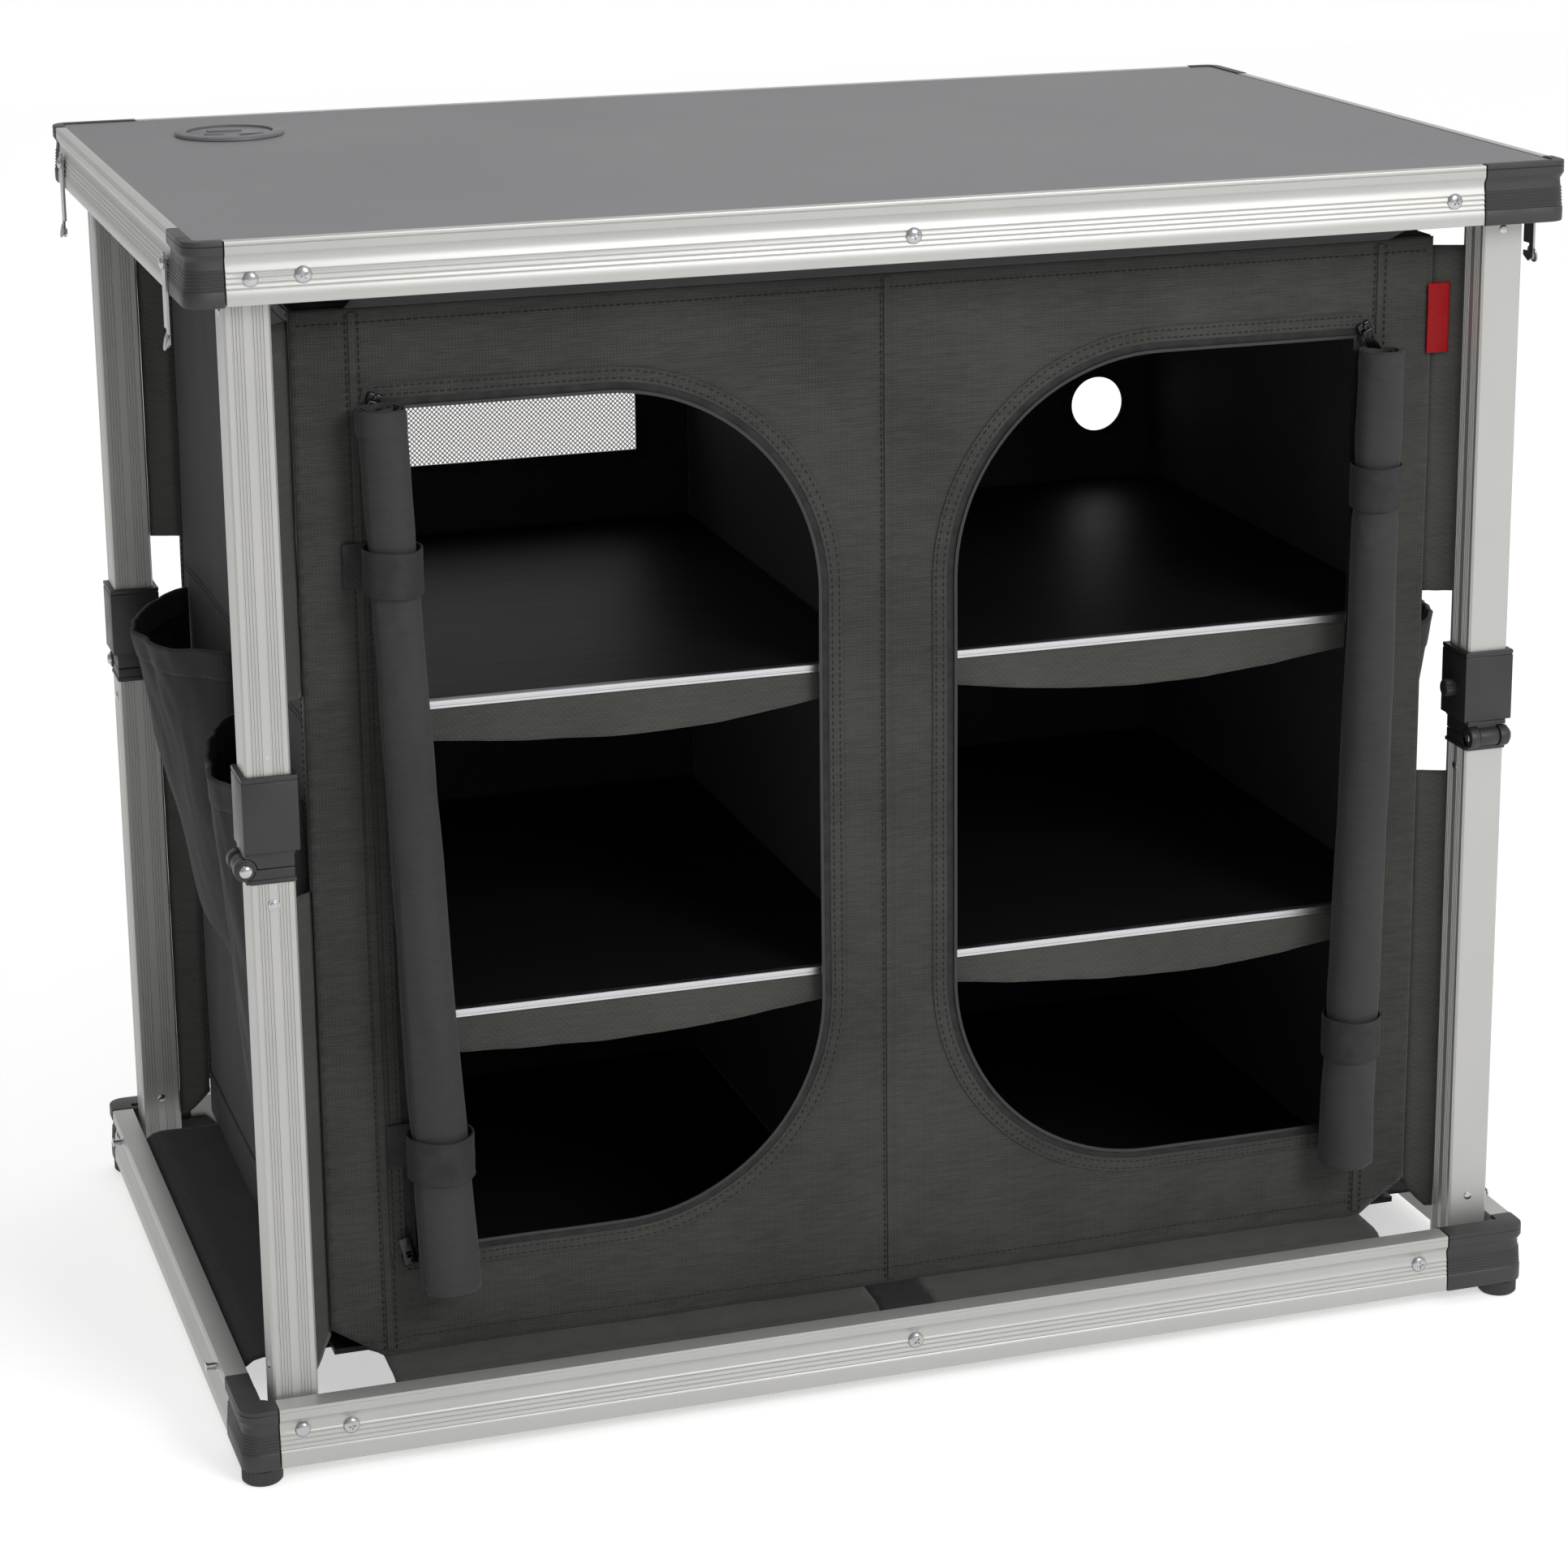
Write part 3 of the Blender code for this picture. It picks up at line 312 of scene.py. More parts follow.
def anodisedAluminium(name, along):
    # extruded, then anodised: die lines run along the bar and spread each reflection across it
    stretch = [2 if axis == along else 420 for axis in "XYZ"]
    made, tree, shader, found = newMaterial(name, "#c0c0bd", 0.42, 0.5, {
        "lines": (stretch, "TexNoise", {"Scale": 1.0, "Detail": 1.0, "Roughness": 0.4}),
        "clouds": (even, "TexNoise", {"Scale": 22.0, "Detail": 3.0}),
    })
    applyPatterns(tree, shader, (found["lines"], "Fac", (0.3, 0.405), (0.7, 0.425)),
                  (found["clouds"], "Fac", (0.3, "#bbbbb8"), (0.7, "#bfbebb")), (found["lines"], "Fac", 0.004, 0.0002))
    return made


def mouldedPlastic(name, colour, roughness=0.52, grain=1100):
    # nylon from an eroded mould: a fine even grain that keeps highlights broad and soft
    made, tree, shader, found = newMaterial(name, colour, roughness, 0.0, {
        "grit": (even, "TexNoise", {"Scale": grain, "Detail": 2.0}),
        "clouds": (even, "TexNoise", {"Scale": 35.0, "Detail": 4.0}),
    }, IOR=1.53)
    applyPatterns(tree, shader, (found["clouds"], "Fac", (0.3, roughness - 0.07), (0.7, roughness + 0.08)),
                  None, (found["grit"], "Fac", 0.22, 0.0002))
    return made


def greyLaminate(name):
    # melamine face pressed on a matt plate: satin, with a faint orange peel and fine pigment
    made, tree, shader, found = newMaterial(name, "#8b8a8c", 0.5, 0.0, {
        "fleck": (even, "TexNoise", {"Scale": 900.0, "Detail": 2.0}),
        "peel": (even, "TexNoise", {"Scale": 260.0, "Detail": 2.0}),
        "wipe": (even, "TexNoise", {"Scale": 5.0, "Detail": 2.0}),
    }, IOR=1.45)
    applyPatterns(tree, shader, (found["wipe"], "Fac", (0.3, 0.49), (0.7, 0.53)),
                  (found["fleck"], "Fac", (0.3, "#767578"), (0.7, "#7d7c7f")), (found["peel"], "Fac", 0.10, 0.0002))
    return made


def wovenCloth(name, dark, light, thread, across, strength=0.35, roughness=0.86, sheen=0.15):
    # canvas weave: two sets of threads seen as a fine grid, drawn as coarse as it needs to show
    weave = {"Scale": 0.314 / thread, "Distortion": 0.6, "Detail": 1.0, "Detail Scale": 0.4}  # thread in metres
    made, tree, shader, found = newMaterial(name, light, roughness, 0.0, {
        "warp": (even, "TexWave", weave, {"bands_direction": across[0]}),
        "weft": (even, "TexWave", weave, {"bands_direction": across[1]}),
        "slub": ((60, 60, 420), "TexNoise", {"Scale": 1.0, "Detail": 4.0, "Roughness": 0.7}),
        "fade": (even, "TexNoise", {"Scale": 9.0, "Detail": 5.0}),
    }, Sheen_Weight=sheen, Sheen_Roughness=0.5)
    grid = addNode(tree, "Math", None, [(0, found["warp"], "Fac"), (1, found["weft"], "Fac")], operation="MULTIPLY")
    tone = addNode(tree, "Math", None, [(0, found["slub"], "Fac"), (1, found["fade"], "Fac")], operation="ADD")
    shade = addNode(tree, "Math", {1: 0.35}, [(0, grid, "Value")], operation="MULTIPLY")
    total = addNode(tree, "Math", None, [(0, tone, "Value"), (1, shade, "Value")], operation="ADD")
    part = addNode(tree, "Math", {1: 0.5}, [(0, total, "Value")], operation="MULTIPLY")
    applyPatterns(tree, shader, None, (part, "Value", (0.38, dark), (0.72, light)), (grid, "Value", strength, 0.0004))
    return made


def polishedSteel(name, colour, roughness):
    # zinc-plated sheet and wire: bright, with small cloudy patches from the bath
    made, tree, shader, found = newMaterial(name, colour, roughness, 1.0, {
        "clouds": (even, "TexNoise", {"Scale": 70.0, "Detail": 2.0, "Roughness": 0.5}),
    })
    clouds = found["clouds"]
    applyPatterns(tree, shader, (clouds, "Fac", (0.3, roughness - 0.03), (0.75, roughness + 0.06)), None,
                  (clouds, "Fac", 0.01, 0.0002))
    return made


def boardFoil(name):
    # fibreboard wrapped in black foil: a low sheen with a faint wood pore
    made, tree, shader, found = newMaterial(name, "#131314", 0.46, 0.0, {
        "pore": ((8, 320, 320), "TexNoise", {"Scale": 1.0, "Detail": 4.0, "Roughness": 0.65}),
    }, IOR=1.5, Specular_IOR_Level=0.38)
    pore = found["pore"]
    applyPatterns(tree, shader, (pore, "Fac", (0.3, 0.43), (0.7, 0.50)), None, (pore, "Fac", 0.04, 0.0002))
    return made


def twistedThread(name, colour, roughness=0.7, twist=0.0016, sheen=0.06, shine=0.5):
    # bonded nylon thread, braid and tape: short ribs across its run
    made, tree, shader, found = newMaterial(name, colour, roughness, 0.0, {
        "ribs": (even, "TexWave", {"Scale": 0.314 / twist, "Distortion": 1.0}, {"bands_direction": "DIAGONAL"}),
        "dust": (even, "TexNoise", {"Scale": 90.0, "Detail": 3.0}),
    }, Sheen_Weight=sheen, Specular_IOR_Level=shine)
    applyPatterns(tree, shader, (found["dust"], "Fac", (0.3, roughness - 0.1), (0.7, roughness + 0.1)), None,
                  (found["ribs"], "Fac", 0.3, 0.0003))
    return made


finishes = {
    "aluminiumX": anodisedAluminium("anodised_aluminium_x", "X"),
    "aluminiumY": anodisedAluminium("anodised_aluminium_y", "Y"),
    "aluminiumZ": anodisedAluminium("anodised_aluminium_z", "Z"),
    "capPlastic": mouldedPlastic("moulded_nylon_caps", "#333233"),
    "kneePlastic": mouldedPlastic("moulded_nylon_knees", "#252527", 0.45),
    "laminate": greyLaminate("grey_laminate"),
    # the lid and ring are black plastic drawn mid grey: the grey is a painted reflection of the bright backdrop
    "lidPlasticPaintedReflection": mouldedPlastic("moulded_lid_grey_painted_reflection", "#6f6e71", 0.48),
    "steel": polishedSteel("zinc_plated_steel", "#9fa0a2", 0.33),
    "boltSteel": polishedSteel("bright_bolts", "#b4b4b6", 0.21),
    "foil": boardFoil("board_foil"),
    "edgeTrim": polishedSteel("bright_edge_trim", "#c6c6c8", 0.36),
    "frontCloth": wovenCloth("woven_polyester_front", "#2a2a27", "#454541", 0.0022, "XZ", 0.6),
    # the side cloth is the front's woven polyester drawn in a darker tone: the darker tone is painted shade for the
    # sides turned from the light
    "sideClothPaintedShade": wovenCloth("woven_polyester_side_painted_shade", "#202021", "#303031", 0.0022, "YZ", 0.4, 0.88, 0.06),
    "tieCloth": wovenCloth("woven_polyester_ties", "#383835", "#4a4a46", 0.0022, ("DIAGONAL", "Z"), 0.4),
    # the pockets are the same woven polyester drawn darker still: the darker tone is painted shade
    "pocketClothPaintedShade": wovenCloth("woven_polyester_pockets_painted_shade", "#191919", "#262626", 0.0018, "YZ", 0.4, 0.88, 0.05),
    "rollCloth": wovenCloth("coated_polyester_rolls", "#262626", "#343434", 0.0014, "XZ", 0.3, 0.76, 0.08),
    "lining": wovenCloth("lining_nylon", "#0b0b0c", "#141416", 0.0010, "XZ", 0.2, 0.8),
    "netThread": twistedThread("net_thread", "#6a6a6b", 0.6, 0.0012),
    "tape": twistedThread("zip_tape", "#161616", 0.75, 0.0010),
    "stitch": twistedThread("sewing_thread", "#1a1a19", 0.65, 0.0006),
    "zipMetal": polishedSteel("zip_slider", "#3a3a3c", 0.3),
    "zipCoil": mouldedPlastic("zip_coil", "#1c1c1d", 0.4, 2500),
    "webbing": twistedThread("strap_webbing", "#1e1e1e", 0.74, 0.0018),
    "redWebbing": twistedThread("red_tab", "#96060f", 0.42, 0.0014, 0.0, 0.22),
}


def dress(node, finish):
    # a frame part that keeps its own shape gets its finish on the object's slots
    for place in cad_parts[node].material_slots:
        place.link = "OBJECT"
        place.material = finishes[finish]


rails = {
    "lip": 0.0030,          # bright line at the top edge
    "bulge": 0.0085,
    "deepAt": 0.0120,       # deepest line of the sunk band, from the top
    "deep": 0.0024,
    "ridgesFrom": 0.0175,
    "ridgesTo": 0.0310,
    "ridges": 4,
    "ridgeHigh": 0.0006,
    "wall": 0.0013,
    "lipWide": 0.0075,
    "rebate": 0.0093,
    "alongLeg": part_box("lower_leg_fl")[0].x + halfWidth + 0.015,
    "topPivot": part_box("upper_leg_fl")[1].z - 0.015,
    "basePivot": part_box("lower_leg_fl")[0].z + 0.015,
    "pivotBore": 0.0034,
}
# each frame's lowest height, its rails' height, whether it holds the board, and its pivots' height
levels = {
    "top": (topRailLow, topOfRail - topRailLow, True, rails["topPivot"]),
    "base": (baseRailLow, baseRailTop - baseRailLow, False, rails["basePivot"]),
}


def railSection(high, hasBoard, ridges, proud=0.0):
    # the outer face as (depth, height): ridges in the sunk band, the bulge and the bright lip
    s = rails
    foot, head = high - s["ridgesTo"], high - s["ridgesFrom"]
    points = [(0.0012, -proud), (0.0003, 0.0003 - proud), (0, 0.0012), (0, foot - 0.0014), (0.0007, foot)]
    step = (head - foot) / ridges
    for i in range(ridges):
        for share, rise in ((0.12, 0), (0.38, 1), (0.62, 1), (0.88, 0)):
            z = foot + step * (i + share)
            slope = 0.0009 + 0.0010 * (z - foot) / (head - foot)
            points.append((slope - s["ridgeHigh"] * rise, z))
    points += [(d, high - z) for d, z in (
        (s["deep"], s["deepAt"] + 0.0008), (s["deep"], s["deepAt"]), (0.0005, s["bulge"] + 0.0004),
        (0, s["bulge"] - 0.0003), (0, s["lip"] + 0.0005), (0.0005, s["lip"]), (0, s["lip"] - 0.0005),
        (0, 0.0012), (0.0003, 0.0003 - proud), (0.0012, -proud))]
    points = [(d - proud, z) for d, z in points]
    if hasBoard:
        points += [(s["lipWide"], high + proud), (s["lipWide"], high - s["rebate"]), (railThick, high - s["rebate"])]
    else:
        points += [(railThick, high + proud)]
    return points + [(railThick, -proud)]


def shapeRail(length, low, high, hasBoard, pivot):
    section = [(d, low + z) for d, z in railSection(high, hasBoard, rails["ridges"])]
    start, end = capShort + hair, length - capLong - hair
    wall = rails["wall"]
    top = low + high - (rails["rebate"] if hasBoard else 0) - wall
    room = addBlock((start - 0.01, rails["deep"] + wall, low + wall), (end + 0.01, railThick - wall, top))
    bore = addRod((rails["alongLeg"], 0.008, pivot), rails["pivotBore"], 0.03, "Y", 24)
    return smooth(cutWith(drawOut(section, start, end, "X"), room, bore), 35)


def makeRails():
    for level, shape in levels.items():
        for length, axis, corners in ((2 * halfWidth, "X", ("fl", "br")), (2 * halfDepth, "Y", ("fr", "bl"))):
            atCorners(shapeRail(length, *shape), f"rail_{level}_+", f"{level}_frame", f"aluminium{axis}",
                      f"{level}_rail_+", corners)


caps = {
    "round": 0.012,
    "stations": 8,
    "ridges": 6,
    "proud": 0.0005,
    "post": 0.0225,
    "heelLong": 0.090,
    "heelHigh": 0.026,
    "heelSlope": 0.014,
}


def shapeCap(low, high, hasBoard):
    # the rail's section is carried round the corner, short along x and long along y
    c = caps
    rings = []
    for d, z in railSection(high, hasBoard, c["ridges"], c["proud"]):
        bend = max(c["round"], d)
        turned = arcPoints(bend, bend, bend - d, 270, 180, c["stations"])
        edge = d + 0.0004 if d < 0.006 else d
        path = [(capShort - 0.0008, edge), (capShort - 0.0016, d), *turned, (d, capLong - 0.0016),
                (edge, capLong - 0.0008)]
        rings.append([(x, y, low + z) for x, y in path])
    stations = list(zip(*rings))
    count, last = len(stations[0]), len(stations) - 1
    ends = [tuple(range(count - 1, -1, -1)), tuple(last * count + i for i in range(count))]
    cap = outwards(meshFrom("cap", [p for ring in stations for p in ring], gridFaces(last, count, True) + ends))
    edge, reach = railThick - hair, c["post"]
    post = drawOut([(edge - 0.002, 0.004), (reach - 0.002, 0.004), (reach, 0.006)]
                   + arcPoints(reach - 0.006, reach - 0.006, 0.006, 0, 90, 5)
                   + [(0.006, reach), (0.004, reach - 0.002), (0.004, edge - 0.002), (edge - 0.002, edge - 0.002)],
                   low, low + high - (rails["rebate"] + 0.0015 if hasBoard else 0.0012), "Z")
    parts = [cap, bevelled(post, 0.0006)]
    if not hasBoard:
        long, top, slope = c["heelLong"], low + c["heelHigh"], c["heelSlope"]
        heel = drawOut([(reach - 0.004, low), (long, low), (long, top - slope), (long - slope, top),
                        (reach - 0.004, top)], railThick + hair, reach, "X")
        parts.append(bevelled(heel, 0.0012, 3))
    return smooth(joined(*parts), 35)


def makeCaps():
    for level, (low, high, hasBoard, _) in levels.items():
        atCorners(shapeCap(low, high, hasBoard), f"cap_{level}_*", f"{level}_frame", "capPlastic", f"{level}_cap_*")


screws = {
    "places": (0.040 + 0.034, halfWidth, 2 * halfWidth - 0.086),  # from the rail's own corner
    "height": {"top": topOfRail - 0.0235, "base": baseRailLow + 0.024},
    "radius": 0.0056,
    "high": 0.0031,
    "cross": (0.0026, 0.0009),
}


def addDome(place, radius, high, towards, vertices=24):
    # a snap head: a thin disc whose face is inset and lifted in steps until it is round
    degrees, axis = {"-Y": (90, "X"), "Y": (-90, "X"), "-X": (-90, "Y"), "X": (90, "Y"), "Z": (0, "X")}[towards]
    rim = high * 0.25
    head = addRod((0, 0, rim / 2), radius, rim, "Z", vertices)
    pick(head)
    bpy.ops.object.mode_set(mode="EDIT")
    bpy.ops.mesh.select_mode(type="FACE")
    bpy.ops.object.mode_set(mode="OBJECT")
    for face in head.data.polygons:
        face.select = face.normal.z > 0.9
    bpy.ops.object.mode_set(mode="EDIT")
    steps = [math.radians(a) for a in (0, 14, 29, 45, 62, 78)]
    for a, b in zip(steps, steps[1:]):
        bpy.ops.mesh.inset(thickness=radius * (math.cos(a) - math.cos(b)),
                           depth=(high - rim) * (math.sin(b) - math.sin(a)))
    bpy.ops.object.mode_set(mode="OBJECT")
    head.data.transform(Matrix.Translation(place) @ Matrix.Rotation(math.radians(degrees), 4, axis))
    return smooth(head, 60)


def makeScrews():
    # a domed head with a cross recess, its seat in the rail's sunk band
    s = screws
    head = addDome((0, 0, 0), s["radius"], s["high"], "Z", 32)
    long, wide = s["cross"]
    for u, v in ((long, wide / 2), (wide / 2, long)):
        cutWith(head, addBlock((-u, -v, s["high"] - 0.0013), (u, v, 0.006)))
    smooth(head, 40)
    for level, z in s["height"].items():
        for corner in ("fl", "br"):
            made = []
            for along in s["places"]:
                place = Matrix.Translation((along, rails["deep"] - 0.0006, z)) @ Matrix.Rotation(math.pi / 2, 4, "X")
                spin = Matrix.Rotation(chance.uniform(0, 1.5), 4, "Z")
                made.append(moved(head, cornerPlace(corner) @ place @ spin))
            finishPiece(joined(*made), f"screws_{level}_{railNames[corner]}", f"{level}_frame", "boltSteel")
    dropped(head)


legs = {
    "along": rails["alongLeg"],
    "inset": railThick + 0.004 + 0.015,
    "half": 0.015,
    "edge": 0.0014,
    "wall": 0.0016,
    "grooves": (0.0034, 0.0055, 0.0076, 0.0097),  # from the middle of a face
    "grooveWide": 0.0012,
    "grooveDeep": 0.0006,
    "bore": 0.0031,
    "rivet": 0.0031,
    "lowRivet": baseRailTop + 0.018,
    "highRivet": topRailLow - 0.008,
    "kneeRivet": 0.4015,
}
kneeZ = (rails["basePivot"] + rails["topPivot"]) / 2


def legSection():
    # fluted on three faces and plain on the fourth
    half, edge = legs["half"], legs["edge"]
    wide, deep = legs["grooveWide"] / 2, legs["grooveDeep"]
    fluted = [(-half + edge, 0)]
    for u in sorted([-u for u in legs["grooves"]] + list(legs["grooves"])):
        fluted += [(u - wide, 0), (u - wide / 2, deep), (u + wide / 2, deep), (u + wide, 0)]
    fluted.append((half - edge, 0))
    points = []
    for side, degrees in ((fluted, 0), (fluted, 90), (fluted, 180), ([fluted[0], fluted[-1]], 270)):
        c, s = math.cos(math.radians(degrees)), math.sin(math.radians(degrees))
        points += [(legs["along"] + u * c - (deep - half) * s, legs["inset"] + u * s + (deep - half) * c)
                   for u, deep in side]
    return points


def shapeLeg(low, high, isUpper):
    x, y, half = legs["along"], legs["inset"], legs["half"]
    if isUpper:
        pivot = high - half
        ends = [*arcPoints(x, pivot, half, 0, 180, 20), (x - half, low - 0.01), (x + half, low - 0.01)]
    else:
        pivot = low + half
        ends = [*arcPoints(x, pivot, half, 180, 360, 20), (x + half, high + 0.01), (x - half, high + 0.01)]
    tube = drawOut(legSection(), low, high, "Z")
    cutWith(tube, drawOut(ends, y - half - 0.001, y + half + 0.001, "Y"), operation="INTERSECT")
    inner = half - legs["wall"]
    cutWith(tube, addBlock((x - inner, y - inner, low - 0.02), (x + inner, y + inner, high + 0.02)),
            addRod((x, y, pivot), legs["bore"], 0.05, "Y", 20))
    return smooth(tube, 30)


def shapeBolt(pivot):
    # the leg's pivot: head in the rail's sunk band, spacer washers and the riveted end
    x, y, half = legs["along"], legs["inset"], legs["half"]
    return joined(addDome((x, rails["deep"] - 0.0006, pivot), 0.0051, 0.0028, "-Y"),
                  addRod((x, (y + half) / 2 + 0.0015, pivot), 0.003, y + half - 0.0008, "Y", 20),
                  addRod((x, railThick + 0.002, pivot), 0.007, 0.0034, "Y", 28, 0.0004),
                  addDome((x, y + half - 0.0001, pivot), 0.0052, 0.0024, "Y"))


def makeLegs():
    x, y, half, r = legs["along"], legs["inset"], legs["half"], legs["rivet"]
    kneeRivet = legs["kneeRivet"]
    tubes = {"lower": shapeLeg(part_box("lower_leg_fl")[0].z, kneeZ - knees["below"] - hair, False),
             "upper": shapeLeg(kneeZ + knees["above"] + hair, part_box("upper_leg_fl")[1].z, True)}
    rivets = {"lower": [addDome((x, y - half, kneeRivet), r, 0.0013, "-Y"),
                        addRod((x, y - half - 0.0002, kneeRivet), 0.0040, 0.0006, "Y", 28, 0.0002),
                        addDome((x, y + half, kneeRivet), r, 0.0012, "Y")],
              "upper": [addRod((x, y - half + 0.0001, sleeves["top"] + 0.012), 0.0014, 0.0004, "Y", 16)]}
    for level, z, pivot in (("lower", legs["lowRivet"], "basePivot"), ("upper", legs["highRivet"], "topPivot")):
        rivets[level] += [addDome((x + half, y, z), r, 0.0010, "X"), addDome((x - half, y, z), r, 0.0010, "-X")]
        bolts = joined(shapeBolt(rails[pivot]), *rivets[level])
        atCorners(tubes[level], f"leg_{level}_*", f"{level}_*", "aluminiumZ", f"{level}_leg_*")
        atCorners(bolts, f"bolts_{level}_*", f"{level}_*", "boltSteel")


knees = {
    "below": 0.010,
    "above": 0.0115,
    "barrelX": legs["along"] - legs["half"] - 0.0025,
    "endRadius": 0.0075,
    "middleRadius": 0.0064,
    "knuckle": 0.007,
    "play": 0.0005,
    "flange": 0.0008,
    "flangeHigh": 0.0030,
}


def shapeKneeHalf(isUpper):
    # a block with its own knuckles, and room for the other half's
    k = knees
    x, y, half = legs["along"], legs["inset"], legs["half"]
    near, far, axis = y - half, y + half, k["barrelX"]
    sign = 1 if isUpper else -1
    face, edge = kneeZ + sign * hair / 2, kneeZ + sign * (k["above"] if isUpper else k["below"])
    block = addBlock((axis, near, min(face, edge)), (x + half, far, max(face, edge)), 0.0008, 3)
    ends = (((near, near + k["knuckle"]), (far - k["knuckle"], far)), k["endRadius"])
    middle = (((near + k["knuckle"] + k["play"], far - k["knuckle"] - k["play"]),), k["middleRadius"])
    (own, radius), (other, otherRadius) = (middle, ends) if isUpper else (ends, middle)
    for low, high in other:
        low, high = low - k["play"] - 0.0002, high + k["play"] + 0.0002
        cutWith(block, addRod((axis, (low + high) / 2, kneeZ), otherRadius + k["play"], high - low, "Y", 40))
    parts = [block]
    for low, high in own:
        knuckle = addRod((axis, (low + high) / 2, kneeZ), radius, high - low, "Y", 40, 0.0006)
        parts.append(cutWith(knuckle, addRod((axis, y, kneeZ), 0.0021, 0.05, "Y", 20)))
    if isUpper:
        parts.append(addBlock((x - half - 0.0006, near - 0.0006, edge - 0.0022),
                              (x + half + 0.0006, far + 0.0006, edge - 0.0001), 0.0005))
    else:
        lip = k["flange"]
        parts += [addBlock((x - half - lip, near - lip, edge + 0.0001),
                           (x + half + lip, far + lip, edge + k["flangeHigh"]), 0.0006),
                  addRod((axis, near - 0.0004, kneeZ), 0.0062, 0.0012, "Y", 36, 0.0004)]
    return smooth(joined(*parts), 35)


def makeKnees():
    axis, y, half = knees["barrelX"], legs["inset"], legs["half"]
    pin = joined(addDome((axis, y - half - 0.0009, kneeZ), 0.0045, 0.0030, "-Y"),
                 addRod((axis, y, kneeZ), 0.0019, 0.031, "Y", 20),
                 addDome((axis, y + half, kneeZ), 0.0031, 0.0011, "Y"))
    for name, level in (("socket", "lower"), ("plug", "upper")):
        atCorners(shapeKneeHalf(level == "upper"), f"knee_half_{name}_*", f"{level}_*", "kneePlastic",
                  f"knee_{name}_*")
    atCorners(pin, "knee_pin_*", "lower_*", "boltSteel")


sleeves = {
    "low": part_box("sleeve_fl")[0].z,
    "top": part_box("sleeve_fl")[1].z,
    "half": 0.0185,
    "inner": 0.0153,
    "ring": 0.0030,
    "groove": 0.0006,
    "button": (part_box("lock_button_fl")[0].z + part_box("lock_button_fl")[1].z) / 2,
    "knob": (0.0060, 0.0064),
    "knurls": 24,
}


def shapeTube(half, low, high, bevel):
    x, y, inner = legs["along"], legs["inset"], sleeves["inner"]
    tube = addBlock((x - half, y - half, low), (x + half, y + half, high), bevel, 2)
    return cutWith(tube, addBlock((x - inner, y - inner, low - 0.01), (x + inner, y + inner, high + 0.01)))


def knurled(u, v, radii, knurls):
    # a round outline that steps between two radii
    return [(u + radii[i % 2] * math.cos(math.pi * i / knurls), v + radii[i % 2] * math.sin(math.pi * i / knurls))
            for i in range(2 * knurls)]


def makeSleeves():
    s = sleeves
    x, y, z = legs["along"], legs["inset"], s["button"]
    shoulder, face = s["top"] - s["ring"], y + s["half"]
    shell = shapeTube(s["half"], s["low"], shoulder - s["groove"], 0.0006)
    cutWith(shell, addRod((x, face, z), 0.0042, 0.012, "Y", 28))
    shell = joined(shell, shapeTube(s["half"] - s["groove"], shoulder - s["groove"], shoulder, 0),
                   shapeTube(s["half"], shoulder, s["top"], 0.0005))
    knob = joined(drawOut(knurled(x, z, s["knob"], s["knurls"]), face + 0.0006, face + 0.0072, "Y"),
                  addRod((x, face + 0.0074, z), 0.0056, 0.0011, "Y", 32, 0.0004),
                  addRod((x, face + 0.0003, z), 0.0060, 0.0006, "Y", 32),
                  addRod((x, face - 0.001, z), 0.0034, 0.0040, "Y", 24))
    atCorners(smooth(shell, 35), "lock_sleeve_*", "sleeve_*", "kneePlastic", "sleeve_*")
    atCorners(smooth(knob, 35), "pull_knob_*", "button_*", "kneePlastic", "lock_button_*")


feet = {"radius": 0.0139, "knurls": 44, "knurlDeep": 0.0006, "inset": 0.0145, "high": 0.0117}


def makeFeet():
    r, place, high = feet["radius"], feet["inset"], feet["high"]
    outline = knurled(place, place, (r, r - feet["knurlDeep"]), feet["knurls"])
    foot = joined(drawOut(outline, 0.0014, high - 0.0010, "Z"),
                  addRod((place, place, 0.0010), r - 0.0012, 0.0020, "Z", 48, 0.0008),
                  addRod((place, place, high - 0.0008), r - 0.0010, 0.0016, "Z", 48, 0.0006))
    atCorners(smooth(foot, 40), "levelling_foot_*", "foot_*", "capPlastic", "foot_*")


grommet = {
    "x": (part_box("cable_grommet")[0].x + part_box("cable_grommet")[1].x) / 2,
    "y": (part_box("cable_grommet")[0].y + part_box("cable_grommet")[1].y) / 2,
    "face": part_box("table_panel")[1].z + hair,
    "profile": ((0.0316, -0.0090), (0.0331, -0.0090), (0.0331, 0.0001), (0.0399, 0.0001), (0.0399, 0.0014),
                (0.0394, 0.0023), (0.0384, 0.0028), (0.0320, 0.0028), (0.0316, 0.0024)),  # radius, height
    "lidRadius": 0.0310,
    "slot": (0.0045, 0.0235, 0.0205),  # from, to and depth of the cable slot
    "grips": (((-0.016, 0.010), (0.004, 0.0072), 0.0046), ((-0.020, -0.006), (-0.010, -0.0068), 0.0042)),
}


